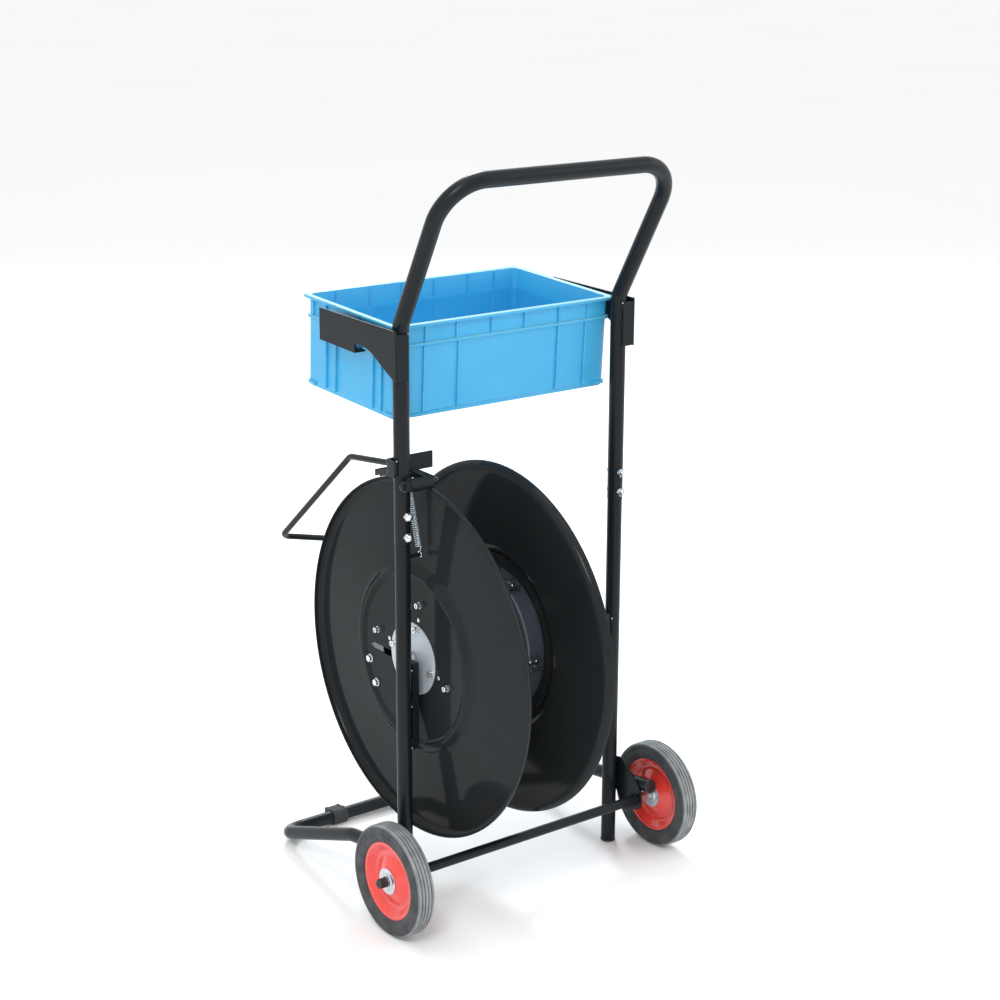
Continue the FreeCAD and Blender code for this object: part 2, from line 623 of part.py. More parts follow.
def strap_anchor():
    """Small plate inside the left disc, outside the core, and the two bolts with washers that hold it."""
    axis = ("post_y + reel_y", "reel_up")
    inner = "left_face + sheet"
    mean = math.radians(sum(ANCHOR_ANGLES) / 2)
    plate = box("anchor_plate", 3, 16, 56, (0, 0, 0))
    plate.Placement = FreeCAD.Placement(VECTOR(), FreeCAD.Rotation(VECTOR(1, 0, 0), math.degrees(mean)))
    reach = "anchor_ring - 5"
    half_long = 28
    formulas = (inner,
                f"{axis[0]} + ({reach}) * {math.cos(mean):.6f} + {half_long} * {math.sin(mean):.6f}",
                f"{axis[1]} + ({reach}) * {math.sin(mean):.6f} - {half_long} * {math.cos(mean):.6f}")
    for letter, formula in zip("xyz", formulas):
        plate.setExpression(f"Placement.Base.{letter}", cells(formula))
    bores, bolts = [], []
    for number, angle in enumerate(ANCHOR_ANGLES):
        centre = around(axis, "anchor_ring", angle)
        bores.append(rod(f"anchor_bore_{number}", 3.1, 20, (f"{inner} - 5",) + centre))
        washer = rod(f"anchor_washer_{number}", 6.8, 1.6, ("left_face - 1.6",) + centre)
        head = hexagon(f"anchor_head_{number}", 10, 4.5, ("left_face - 6.1",) + centre)
        shank = rod(f"anchor_shank_{number}", 3, 14, ("left_face - 5",) + centre)
        bolts.append(fuse(f"anchor_bolt_{number}", [washer, head, shank]))
    node("strap_anchor", cut("anchor_cut", plate, group("anchor_bores", bores)))
    node("anchor_bolts", group("anchor_bolt_group", bolts))


def brake_frame():
    """Pivot sleeve, stop strip and spring stud, all on the left post."""
    pivot = ("post_y + pivot_y", "pivot_up")
    node("pivot_sleeve", ring("sleeve_ring", "pivot_rad", "rod_rad + rod_gap", 41, ("-213",) + pivot))
    body = new_body("stop_strip", (0, "post_y", "strip_low"))
    corners = ((-144, 15.7), (-225, 15.7), (-228, 14.4), (-229, 11.5), (-229, -8), (-226, -8), (-226, 12.6),
               (-144, 12.6))
    sketch = outline(new_sketch(body, "XY_Plane", "strip_outline"), corners)
    pad(body, sketch, "strip_high - strip_low", "strip_pad")
    body = new_body("spring_stud", ("-(post_x - lower_rad)", "post_y", "stud_up"))
    sketch = new_sketch(body, "YZ_Plane", "stud_circle")
    circle(sketch, 0, 0, 3)
    pad(body, sketch, "post_x - lower_rad + spring_x + 3.5", "stud_pad")


def brake_lever():
    """Bent rod: pivot, run over the disc, down to the front and across as the strap's guide bar."""
    inset = value("rod_x")
    corners = [from_posts(-227, "pivot_y", "pivot_up"), from_posts(inset, "pivot_y", "pivot_up"),
               from_posts(inset, 78, value("pivot_up") + 3), from_posts(inset, 215, 688),
               from_posts(inset - 3, 424, 505), from_posts(-25, 420, 474)]
    path = rounded_path(corners, (9, 200, 22, 16))
    free_shape("lever_rod", bent_bar(path, value("rod_rad")))

    pivot = ("post_y + pivot_y", "pivot_up")
    nut = hexagon("pivot_nut_flats", 16, 7.4, ("-222.5",) + pivot)
    washer = rod("pivot_washer", 9, 1.6, ("-215.1",) + pivot)
    blank = fuse("pivot_nut_blank", [nut, washer])
    bore = rod("pivot_nut_bore", "rod_rad + 0.05", 12, ("-224",) + pivot)
    node("pivot_nut", cut("pivot_nut_cut", blank, bore))

    reel_axis = ("post_y + reel_y", "reel_up")
    width = "shoe_right - shoe_left"
    lining_out = "disc_rad + shoe_gap + lining"
    body = new_body("brake_shoe", ("shoe_left", "post_y", 0))
    corners = (("shoe_near", "pivot_up - 12"), ("shoe_near", "pivot_up - 3.9"), (78, "pivot_up - 2.7"),
               ("shoe_far", "pivot_up - 6.8"), ("shoe_far", "pivot_up - 26"))
    sketch = outline(new_sketch(body, "YZ_Plane", "shoe_outline"), corners)
    pad(body, sketch, width, "shoe_pad")
    doc.recompute()
    hollow = new_sketch(body, "YZ_Plane", "shoe_hollow")
    circle(hollow, "reel_y", "reel_up", lining_out)
    pocket_through(body, hollow, "shoe_hollow_cut")
    body.Tip = body.Group[-1]

    doc.recompute()
    eye = new_sketch(body, "XY_Plane", "spring_hole")
    circle(eye, "spring_x - shoe_left", "hook_y", 2.2)
    pocket_through(body, eye, "spring_hole_cut")
    body.Tip = body.Group[-1]

    lined = "shoe_right - lining_left"
    tyre = ring("lining_ring", lining_out, "disc_rad + shoe_gap", lined, ("lining_left",) + reel_axis)
    window = box("lining_window", lined, "shoe_far - shoe_near", 60,
                 ("lining_left", "post_y + shoe_near", "pivot_up - 40"))
    lining = doc.addObject("Part::Common", "lining_arc")
    lining.Base, lining.Tool = tyre, window
    node("brake_lining", lining)


def brake_spring():
    """Closed coil extension spring: a loop round the stud, the coil, and a hook through the shoe."""
    wire_rad, coil_rad, turns = 0.75, 3.8, 30
    stud = from_posts("spring_x", 0, "stud_up")
    eye = from_posts("spring_x", "hook_y", "pivot_up - 3")
    axis = (eye - stud).normalize()
    bottom, top = stud + axis * 11, eye - axis * 24
    helix = Part.makeHelix((top - bottom).Length / turns, (top - bottom).Length, coil_rad)
    helix.Placement = FreeCAD.Placement(bottom, FreeCAD.Rotation(VECTOR(0, 0, 1), axis))
    edge = helix.Edges[0]
    start = edge.valueAt(edge.FirstParameter)
    section = Part.Wire([Part.Circle(start, edge.tangentAt(edge.FirstParameter), wire_rad).toShape()])
    coil = Part.Wire(helix.Edges).makePipeShell([section], True, True)
    loop = Part.makeTorus(coil_rad, wire_rad, stud, VECTOR(1, 0, 0))
    shank = Part.makeCylinder(wire_rad, 9, stud + axis * coil_rad, axis)
    rise = VECTOR(0, 0, 1)
    outside = VECTOR(-7.5, 0, 0)
    over = eye + rise * 4.5
    corners = [top - axis * 2, eye - rise * 3, over, over + outside, eye + outside - rise * 4]
    hook = bent_bar(rounded_path(corners, (4, 3.4, 3.4)), wire_rad)
    free_shape("brake_spring", Part.makeCompound([coil, loop, shank, hook]))


def crate():
    """Stacking crate: walls, floor, rolled rim, band and the ledges that hang on the brackets."""
    slope = math.degrees(math.atan(value("tray_slope")))
    body = new_body("tool_crate", ("crate_x", "post_y + rim_y", "rim_up"))
    body.Placement = FreeCAD.Placement(body.Placement.Base, FreeCAD.Rotation(VECTOR(1, 0, 0), slope))

    def slab(name, inset, top, length):
        sketch = new_sketch(body, "XY_Plane", name + "_outline", top)
        side, near, far = f"rim_x - ({inset})", f"{inset}", f"rim_deep - ({inset})"
        outline(sketch, ((f"-({side})", near), (side, near), (side, far), (f"-({side})", far)))
        return sketch, length
    for name, inset, top, length in (("walls", "rim_over", 0, "crate_high"), ("rim", 0, 0, 5),
                                     ("band", "rim_over - 3", -31, 5), ("lip", "rim_over - 2", -129, 5)):
        sketch, length = slab(name, inset, top, length)
        pad(body, sketch, length, name + "_pad", backwards=True)
    for name, sign in (("left_ledge", -1), ("right_ledge", 1)):
        sketch = new_sketch(body, "YZ_Plane", name + "_outline", f"{sign} * (rim_x - rim_over - 1)")
        low = "-shelf_drop + ledge_gap"
        outline(sketch, (("shelf_near + 6", low), ("shelf_far - 6", low), ("shelf_far - 6", f"{low} + 4"),
                         ("shelf_near + 6", f"{low} + 4")))
        pad(body, sketch, "ledge_long", name, backwards=sign < 0)
    doc.recompute()
    sketch, length = slab("cavity", "rim_over + crate_wall", 0, "crate_high - 3")
    cavity = body.newObject("PartDesign::Pocket", "cavity_cut")
    cavity.Profile = sketch
    cavity.setExpression("Length", cells(length))
    body.Tip = cavity


def brackets():
    """Sheet brackets with a shelf under the crate's ledge and a tab welded to the back of the tube."""
    def up(deep, drop):
        return (f"rim_y + {deep}", f"rim_up + ({deep}) * tray_slope - ({drop})")
    corners = (up(-29, -2.6), up("shelf_far", 3.6), up("shelf_far", "shelf_drop + 3"),
               up("shelf_near", "shelf_drop + 3"), up("shelf_near", 38), up(60, 37.5), up(44, 40),
               up(34, 44.6), up(27, 48.8), up(5.5, 57.7), up(-13.7, 66.8), up(-29, 74))
    shelf = (up("shelf_near", "shelf_drop"), up("shelf_far", "shelf_drop"), up("shelf_far", "shelf_drop + 3"),
             up("shelf_near", "shelf_drop + 3"))
    tab = (up(-29, 3), up(-26, 3), up(-26, 72), up(-29, 74))
    for side, sign in SIDES:
        body = new_body(f"{side}_tray_bracket", (f"{sign} * bracket_x", "post_y", 0))
        plate = outline(new_sketch(body, "YZ_Plane", side + "_bracket_plate"), corners)
        pad(body, plate, "bracket_thick", side + "_bracket_plate_pad", backwards=sign < 0)
        ledge = outline(new_sketch(body, "YZ_Plane", side + "_bracket_shelf"), shelf)
        pad(body, ledge, "bracket_x - shelf_in", side + "_bracket_shelf_pad", backwards=sign > 0)
        flap = outline(new_sketch(body, "YZ_Plane", side + "_bracket_tab"), tab)
        pad(body, flap, 20.5, side + "_bracket_tab_pad", backwards=sign > 0)


def finish():
    """Checks every object, then writes one STEP file for each node."""
    doc.recompute()
    faults = [item.Name for item in doc.Objects if {"Invalid", "Error"} & set(item.State)]
    faults += [label for label, piece in nodes.items() if piece.Shape.isNull() or not piece.Shape.isValid()]
    if faults:
        raise RuntimeError("failed objects: " + ", ".join(faults))
    os.makedirs("parts", exist_ok=True)
    whole = FreeCAD.BoundBox()
    for label, piece in nodes.items():
        piece.Shape.exportStep(f"parts/{label}.step")
        whole.add(piece.Shape.BoundBox)
        print(f"{label:22s} solids {len(piece.Shape.Solids)}  volume {piece.Shape.Volume:10.0f}")
    print(len(nodes), "nodes;", "middle of the cart in y:", round((whole.YMin + whole.YMax) / 2, 3), whole)


lower_posts()
handle()
joint_bolts()
foot_caps()
base()
front_pads()
axle_plates()
axle()
wheels()
saddles()
shaft()
reel()
strap_clips()
strap_anchor()
brake_frame()
brake_lever()
brake_spring()
crate()
brackets()
finish()
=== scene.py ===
"""Looks for the strapping dispenser cart: materials, detailed pieces around the CAD frame, studio and camera.

Metres, in the frame's own axes: +X right along the reel's axis, +Y away from the operator, +Z up.
"""
import bmesh
import bpy
import json
import math
from mathutils import Matrix, Vector, noise as noise_at


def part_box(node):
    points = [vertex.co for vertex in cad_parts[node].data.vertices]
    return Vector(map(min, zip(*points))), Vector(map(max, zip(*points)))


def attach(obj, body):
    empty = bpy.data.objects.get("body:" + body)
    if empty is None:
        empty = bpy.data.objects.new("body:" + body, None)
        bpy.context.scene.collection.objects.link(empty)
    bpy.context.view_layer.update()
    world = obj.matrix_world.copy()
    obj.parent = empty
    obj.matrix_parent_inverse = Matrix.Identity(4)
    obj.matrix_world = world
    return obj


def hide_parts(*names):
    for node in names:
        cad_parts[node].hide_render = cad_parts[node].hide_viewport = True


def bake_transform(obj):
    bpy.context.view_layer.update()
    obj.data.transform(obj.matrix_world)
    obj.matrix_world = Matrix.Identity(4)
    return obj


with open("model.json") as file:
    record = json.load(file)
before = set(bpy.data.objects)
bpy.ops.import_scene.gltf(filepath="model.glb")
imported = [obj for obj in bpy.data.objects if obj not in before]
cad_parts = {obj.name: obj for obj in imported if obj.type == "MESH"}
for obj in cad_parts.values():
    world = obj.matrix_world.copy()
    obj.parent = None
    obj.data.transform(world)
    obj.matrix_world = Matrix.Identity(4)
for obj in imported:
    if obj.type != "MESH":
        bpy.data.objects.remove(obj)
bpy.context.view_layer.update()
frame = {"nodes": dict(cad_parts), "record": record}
nodes = frame["nodes"]
MM = 0.001


# ---------------------------------------------------------------- places taken from the frame
def low(node):
    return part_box(node)[0]


def high(node):
    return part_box(node)[1]


def middle(node):
    return (low(node) + high(node)) / 2


REEL = middle("reel_shaft")
POST_Y = middle("left_lower_post").y
POST_X = middle("right_lower_post").x


# ---------------------------------------------------------------- materials
def material(name, colour, roughness, metallic=0.0, **sockets):
    """A Principled material; constants sit on the shader's own sockets."""
    made = bpy.data.materials.new(name)
    made.use_nodes = True
    shader = shader_of(made)
    shader.inputs["Base Color"].default_value = (*colour, 1)
    shader.inputs["Roughness"].default_value = roughness
    shader.inputs["Metallic"].default_value = metallic
    for key, size in sockets.items():
        shader.inputs[key.replace("_", " ")].default_value = size
    return made


def add(made, kind, **settings):
    step = made.node_tree.nodes.new("ShaderNode" + kind)
    for key, setting in settings.items():
        if hasattr(step, key):
            setattr(step, key, setting)
        else:
            step.inputs[key.replace("_", " ")].default_value = setting
    return step


def link(made, source, target):
    made.node_tree.links.new(source, target)


def shader_of(made):
    return made.node_tree.nodes["Principled BSDF"]


def feed(made, socket, source):
    """Leads a texture's result into one of the shader's sockets."""
    link(made, source, shader_of(made).inputs[socket])


def place_of(made, stretch=(1, 1, 1)):
    """Object coordinates, in metres, stretched along an axis where a grain runs."""
    coordinates = add(made, "TexCoord")
    mapping = add(made, "Mapping")
    mapping.inputs["Scale"].default_value = stretch
    link(made, coordinates.outputs["Object"], mapping.inputs["Vector"])
    return mapping.outputs["Vector"]


def noise(made, scale, detail=3.0, stretch=(1, 1, 1)):
    texture = add(made, "TexNoise", Scale=scale, Detail=detail)
    link(made, place_of(made, stretch), texture.inputs["Vector"])
    return texture.outputs["Fac"]


def ramp(made, factor, stops):
    """A colour ramp; each stop is a position and a grey or a colour."""
    step = add(made, "ValToRGB")
    elements = step.color_ramp.elements
    while len(elements) < len(stops):
        elements.new(0.5)
    for element, (position, colour) in zip(elements, stops):
        element.position = position
        element.color = (*colour, 1) if isinstance(colour, tuple) else (colour, colour, colour, 1)
    link(made, factor, step.inputs["Fac"])
    return step.outputs["Color"]


def cloud(made, scale, detail, span, values=(0.0, 1.0)):
    """Soft patches: noise that goes from one value to the other over a span."""
    return ramp(made, noise(made, scale, detail), tuple(zip(span, values)))


def mix(made, factor, first, second, blend="MIX"):
    step = add(made, "Mix", data_type="RGBA", blend_type=blend)
    for socket, source in ((step.inputs[0], factor), (step.inputs[6], first), (step.inputs[7], second)):
        if isinstance(source, bpy.types.NodeSocket):
            link(made, source, socket)
        elif isinstance(source, tuple):
            socket.default_value = (*source, 1)
        else:
            socket.default_value = source
    return step.outputs[2]


def bump(made, height, strength, distance, after=None):
    step = add(made, "Bump", Strength=strength, Distance=distance)
    link(made, height, step.inputs["Height"])
    if after:
        link(made, after, step.inputs["Normal"])
    return step.outputs["Normal"]


def worn_edges(made, width, amount=0.5):
    """A mask that is 1 on convex edges, broken up by noise."""
    geometry = add(made, "NewGeometry")
    edge = ramp(made, geometry.outputs["Pointiness"], ((0.52, 0.0), (0.52 + width, 1.0)))
    patches = cloud(made, 60, 4, (0.45, 0.62), (0.0, amount))
    return mix(made, 1.0, edge, patches, "MULTIPLY")


def grain_about_reel(made):
    """Turns an anisotropic finish about the reel's axis."""
    feed(made, "Tangent", add(made, "Tangent", direction_type="RADIAL", axis="X").outputs["Tangent"])


def distance_from(made, origin):
    """Distance in metres, seen from the side, from a line across the cart."""
    offset = add(made, "VectorMath", operation="SUBTRACT")
    offset.inputs[1].default_value = origin
    link(made, add(made, "TexCoord").outputs["Object"], offset.inputs[0])
    flat = add(made, "VectorMath", operation="MULTIPLY")
    flat.inputs[1].default_value = (0, 1, 1)
    link(made, offset.outputs[0], flat.inputs[0])
    length = add(made, "VectorMath", operation="LENGTH")
    link(made, flat.outputs[0], length.inputs[0])
    return length.outputs["Value"]


def powder_coat(name="powder_coat", low_tint=(0.008, 0.011, 0.013), high_tint=(0.011, 0.014, 0.017),
                shine=0.19):
    """Satin black powder coat: fine orange peel and a trace of dust."""
    made = material(name, low_tint, 0.30, Specular_IOR_Level=shine)
    dust = cloud(made, 5, 4, (0.35, 0.8))
    feed(made, "Base Color", mix(made, dust, low_tint, high_tint))
    feed(made, "Normal", bump(made, noise(made, 900, 2), 0.08, 0.0003))
    return made


def disc_enamel():
    """Gloss black enamel on spun sheet: fine rings under a smooth coat and a trace of dust."""
    made = material("disc_enamel", (0.022, 0.024, 0.026), 0.34, Anisotropic=0.5, Specular_IOR_Level=0.0,
                    Coat_Weight=0.30, Coat_Roughness=0.09, Coat_IOR=1.38)
    grain_about_reel(made)
    rings = add(made, "TexNoise", noise_dimensions="1D", Scale=700.0, Detail=2.0)
    link(made, distance_from(made, REEL), rings.inputs["W"])
    feed(made, "Normal", bump(made, rings.outputs["Fac"], 0.05, 0.0003))
    dust = cloud(made, 5, 5, (0.4, 0.8))
    feed(made, "Base Color", mix(made, dust, (0.016, 0.0185, 0.020), (0.022, 0.025, 0.027)))
    scuffs = cloud(made, 9, 4, (0.35, 0.8), (0.27, 0.34))
    feed(made, "Roughness", scuffs)
    return made


def zinc_plate(name="zinc_plate", tint=(0.66, 0.68, 0.71), roughness=0.28):
    """Bright zinc plate with a soft spangle and a few duller patches."""
    made = material(name, tint, roughness, metallic=1.0)
    spangle = add(made, "TexVoronoi", Scale=420.0)
    link(made, place_of(made), spangle.inputs["Vector"])
    patches = cloud(made, 130, 5, (0.35, 0.7))
    dull = (tint[0] * 0.80, tint[1] * 0.82, tint[2] * 0.84)
    feed(made, "Base Color", mix(made, patches, tint, dull))
    rough = ramp(made, spangle.outputs["Distance"], ((0.0, roughness - 0.08), (0.6, roughness + 0.14)))
    feed(made, "Roughness", rough)
    feed(made, "Normal", bump(made, spangle.outputs["Distance"], 0.08, 0.0002))
    return made


def brushed_zinc():
    """Zinc plated sheet with a brushed grain that turns about the reel's axis."""
    made = material("brushed_zinc", (0.52, 0.58, 0.63), 0.50, metallic=0.35, Anisotropic=0.3)
    grain_about_reel(made)
    patches = cloud(made, 60, 5, (0.35, 0.7))
    feed(made, "Base Color", mix(made, patches, (0.50, 0.56, 0.61), (0.44, 0.50, 0.55)))
    feed(made, "Roughness", cloud(made, 90, 4, (0.3, 0.8), (0.42, 0.54)))
    feed(made, "Normal", bump(made, noise(made, 500, 3), 0.05, 0.0002))
    return made


def turned_steel():
    """Plain turned bar: fine rings along the bar, darker where oil has stayed."""
    made = material("turned_steel", (0.50, 0.50, 0.51), 0.25, metallic=1.0)
    grain = noise(made, 40, 4, (60, 1, 1))
    oil = cloud(made, 25, 5, (0.35, 0.75))
    feed(made, "Base Color", mix(made, oil, (0.56, 0.57, 0.59), (0.34, 0.34, 0.34)))
    feed(made, "Roughness", ramp(made, grain, ((0.2, 0.18), (0.8, 0.42))))
    feed(made, "Normal", bump(made, grain, 0.05, 0.0002))
    return made


def red_enamel():
    """Gloss red enamel on pressed steel, with dust in the dish and chips at the edges."""
    made = material("red_enamel", (0.76, 0.048, 0.036), 0.24, Coat_Weight=0.6, Coat_Roughness=0.08)
    dust = cloud(made, 45, 6, (0.45, 0.85), (0.0, 0.5))
    colour = mix(made, dust, (0.76, 0.045, 0.034), (0.70, 0.075, 0.058))
    chips = worn_edges(made, 0.05, 0.8)
    feed(made, "Base Color", mix(made, chips, colour, (0.42, 0.16, 0.14)))
    feed(made, "Roughness", cloud(made, 70, 4, (0.3, 0.8), (0.16, 0.34)))
    feed(made, "Normal", bump(made, noise(made, 420, 2), 0.10, 0.0004))
    return made


def tyre_rubber():
    """Grey black solid rubber; the running face is paler with road dust than the walls."""
    made = material("tyre_rubber", (0.05, 0.053, 0.057), 0.72, Specular_IOR_Level=0.35)
    centre = middle("left_tyre")
    share = add(made, "Math", operation="DIVIDE")
    share.inputs[1].default_value = high("left_tyre").z - centre.z
    link(made, distance_from(made, centre), share.inputs[0])
    running = ramp(made, share.outputs[0], ((0.955, 0.0), (0.985, 1.0)))
    dirt = cloud(made, 55, 7, (0.3, 0.7), (0.35, 1.0))
    face = mix(made, dirt, (0.12, 0.125, 0.13), (0.30, 0.32, 0.33))
    wall = mix(made, cloud(made, 38, 6, (0.4, 0.8)), (0.040, 0.043, 0.047),
               (0.085, 0.09, 0.096))
    feed(made, "Base Color", mix(made, running, wall, face))
    feed(made, "Roughness", cloud(made, 90, 5, (0.3, 0.8), (0.55, 0.85)))
    grain = bump(made, noise(made, 1500, 3), 0.25, 0.0003)
    feed(made, "Normal", bump(made, noise(made, 160, 5), 0.2, 0.0006, grain))
    return made


def moulded_rubber():
    made = material("moulded_rubber", (0.028, 0.029, 0.031), 0.66, Specular_IOR_Level=0.4)
    bloom = cloud(made, 50, 6, (0.4, 0.8))
    feed(made, "Base Color", mix(made, bloom, (0.024, 0.025, 0.027), (0.06, 0.062, 0.066)))
    feed(made, "Normal", bump(made, noise(made, 1300, 3), 0.3, 0.0003))
    return made


def black_plastic():
    made = material("black_plastic", (0.02, 0.021, 0.023), 0.42)
    feed(made, "Roughness", cloud(made, 60, 5, (0.3, 0.8), (0.34, 0.55)))
    feed(made, "Normal", bump(made, noise(made, 1100, 2), 0.22, 0.0003))
    return made


def nylon():
    made = material("nylon", (0.78, 0.75, 0.66), 0.4, Subsurface_Weight=0.2, Subsurface_Scale=0.002)
    grime = cloud(made, 120, 5, (0.45, 0.8), (0.0, 0.7))
    feed(made, "Base Color", mix(made, grime, (0.78, 0.75, 0.66), (0.46, 0.43, 0.36)))
    feed(made, "Normal", bump(made, noise(made, 700, 2), 0.1, 0.0003))
    return made


def crate_plastic(name="crate_plastic", low_tint=(0.036, 0.36, 0.65), high_tint=(0.046, 0.39, 0.68)):
    """Sky blue polypropylene: fine moulded texture, faint flow marks, paler scuffed edges."""
    made = material(name, (0.03, 0.40, 0.75), 0.44, Subsurface_Weight=0.12, Subsurface_Scale=0.003)
    flow = ramp(made, noise(made, 6, 5, (1, 1, 3)), ((0.3, 0.0), (0.7, 1.0)))
    colour = mix(made, flow, low_tint, high_tint)
    scuff = worn_edges(made, 0.08, 0.6)
    feed(made, "Base Color", mix(made, scuff, colour, (0.24, 0.56, 0.70)))
    feed(made, "Roughness", cloud(made, 35, 6, (0.3, 0.8), (0.32, 0.52)))
    feed(made, "Normal", bump(made, noise(made, 800, 3), 0.14, 0.0004))
    return made


POWDER = powder_coat()
ENAMEL = disc_enamel()
ZINC = zinc_plate()
BRUSHED = brushed_zinc()
STEEL = turned_steel()
RED = red_enamel()
TYRE = tyre_rubber()
RUBBER = moulded_rubber()
PLASTIC = black_plastic()
NYLON = nylon()
CRATE = crate_plastic()
# Paler, greener copy of the crate plastic for the upward faces of rim and ledge: partly scuff wear, partly a
# painted highlight where light falls from above.
CRATE_WORN_AND_LIT = crate_plastic("crate_rim_wear_and_highlight", (0.13, 0.43, 0.55), (0.19, 0.48, 0.52))
CHROME = zinc_plate("bright_plate", (0.78, 0.79, 0.80), 0.16)
BARE = zinc_plate("bare_weld", (0.62, 0.68, 0.74), 0.30)
WIRE = zinc_plate("spring_wire", (0.75, 0.85, 0.92), 0.30)
# The drum's blue-grey enamel, made far paler and bluer than the frame's coat: its own colour plus painted
# light for the light the drum catches.
CORE_ENAMEL_LIT = powder_coat("core_enamel_painted_light", (0.052, 0.062, 0.080), (0.064, 0.074, 0.094), 0.9)
BY_SLOT = {"frame_paint": POWDER, "disc_paint": ENAMEL, "zinc": ZINC, "bright_steel": STEEL, "red_paint": RED,
           "tyre_rubber": TYRE, "black_rubber": RUBBER, "black_plastic": PLASTIC, "bush_nylon": NYLON,
           "blue_plastic": CRATE}
SLOT_OF = {part["node"]: part["material_slot"] for part in frame["record"]["subparts"]}


# ---------------------------------------------------------------- mesh tools
X, Y, Z = Vector((1, 0, 0)), Vector((0, 1, 0)), Vector((0, 0, 1))
SHARP = math.radians(32)


def at(across, deep, up):
    """A place in millimetres, with its depth measured from the plane of the posts."""
    return Vector((across * MM, POST_Y + deep * MM, up * MM))


def mesh_from(bm, name):
    mesh = bpy.data.meshes.new(name)
    bm.to_mesh(mesh)
    bm.free()
    return mesh


def in_scene(name, data):
    made = bpy.data.objects.new(name, data)
    bpy.context.scene.collection.objects.link(made)
    return made


def fine_edges(piece, width, segments):
    edges = piece.modifiers.new("edges", "BEVEL")
    edges.width = width
    edges.segments = segments
    edges.angle_limit = SHARP
    edges.harden_normals = True


def piece_from(bm, name, look, body, replaces=(), bevel=0.0, sharp=SHARP):
    """Makes an object of a finished bmesh, gives it its finish and puts it on its body, if it has one."""
    bmesh.ops.remove_doubles(bm, verts=bm.verts, dist=1e-7)
    bmesh.ops.recalc_face_normals(bm, faces=bm.faces)
    mesh = mesh_from(bm, name)
    mesh.materials.append(look)
    mesh.shade_smooth()
    mesh.set_sharp_from_angle(angle=sharp)
    piece = in_scene(name, mesh)
    if bevel:
        fine_edges(piece, bevel, 3)
    if body:
        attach(piece, body)
    if replaces:
        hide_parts(*replaces)
    return piece


def painted(bm, name, replaces, bevel=0.0):
    """A powder-coated piece of the frame."""
    return piece_from(bm, name, POWDER, "frame", replaces, bevel)


def applied(piece):
    """Applies a piece's modifiers to its mesh."""
    graph = bpy.context.evaluated_depsgraph_get()
    mesh = bpy.data.meshes.new_from_object(piece.evaluated_get(graph))
    piece.modifiers.clear()
    piece.data = mesh
    return piece


def rounded(points, radii, steps=6, closed=False):
    """A line of points with its corners turned into arcs; a radius of 0 keeps a corner."""
    path = []
    last = len(points) - 1
    for index, corner in enumerate(points):
        corner = Vector(corner)
        radius = radii[index] if hasattr(radii, "__len__") else radii
        if radius <= 0 or (not closed and index in (0, last)):
            path.append(corner)
            continue
        back = (Vector(points[index - 1]) - corner).normalized()
        ahead = (Vector(points[(index + 1) % (last + 1)]) - corner).normalized()
        half = math.acos(max(-1, min(1, back.dot(ahead)))) / 2
        turn = math.pi - 2 * half
        if turn < 0.01:
            path.append(corner)
            continue
        centre = corner + (back + ahead).normalized() * (radius / math.sin(half))
        reach = radius / math.tan(half)
        start, end = corner + back * reach - centre, corner + ahead * reach - centre
        for step in range(steps + 1):
            share = step / steps
            path.append(centre + (start * math.sin((1 - share) * turn) + end * math.sin(share * turn))
                        / math.sin(turn))
    return path


def ring_of(bm, centre, first, second, radius_at, steps):
    turns = [math.tau * step / steps for step in range(steps)]
    return [bm.verts.new(centre + (first * math.cos(turn) + second * math.sin(turn)) * radius_at(turn))
            for turn in turns]


def bridge(bm, first, second):
    """Faces between two rings; a ring of one vertex is a pole."""
    steps = max(len(first), len(second))
    for step in range(steps):
        after = (step + 1) % steps
        corners = [first[step % len(first)], first[after % len(first)],
                   second[after % len(second)], second[step % len(second)]]
        corners = list(dict.fromkeys(corners))
        if len(corners) > 2:
            bm.faces.new(corners)


def flats(apothem, sides, limit=None):
    """The radius of a regular polygon at each angle, cut back by a chamfer's circle."""
    wedge = math.tau / sides

    def radius_at(turn):
        radius = apothem / math.cos((turn % wedge) - wedge / 2)
        return min(radius, limit) if limit else radius
    return radius_at


def lathe(bm, profile, centre, axis=X, steps=96, closed=True):
    """Turns a profile about an axis. Each point is a place along it and a radius, or a radius function."""
    spin = X.rotation_difference(axis)
    first, second = spin @ Y, spin @ Z
    rings = []
    for along, radius in profile:
        middle_of = centre + axis * along
        if callable(radius):
            rings.append(ring_of(bm, middle_of, first, second, radius, steps))
        elif radius < 1e-7:
            rings.append([bm.verts.new(middle_of)])
        else:
            rings.append(ring_of(bm, middle_of, first, second, lambda turn, size=radius: size, steps))
    followers = rings[1:] + rings[:1] if closed else rings[1:]
    for ring, following in zip(rings, followers):
        bridge(bm, ring, following)


def section_of(radius, steps=32):
    return [(radius * math.cos(math.tau * step / steps), radius * math.sin(math.tau * step / steps))
            for step in range(steps)]


def sweep(bm, path, section, side=X, caps=True, size_at=None):
    """Carries a closed section of (side, rise) offsets along a path, without twist."""
    path = [Vector(point) for point in path]
    tangents = []
    for index in range(len(path)):
        before, after = path[max(index - 1, 0)], path[min(index + 1, len(path) - 1)]
        tangents.append((after - before).normalized())
    side = Vector(side)
    if abs(side.dot(tangents[0])) > 0.9:
        side = Vector((0, 0, 1))
    side = (side - tangents[0] * side.dot(tangents[0])).normalized()
    rings = []
    for index, point in enumerate(path):
        if index:
            side = tangents[index - 1].rotation_difference(tangents[index]) @ side
            side = (side - tangents[index] * side.dot(tangents[index])).normalized()
        rise = tangents[index].cross(side)
        size = size_at(index) if size_at else 1
        rings.append([bm.verts.new(point + (side * a + rise * b) * size) for a, b in section])
    for ring, following in zip(rings, rings[1:]):
        bridge(bm, ring, following)
    if caps:
        bm.faces.new(rings[0])
        bm.faces.new(rings[-1])
    return rings


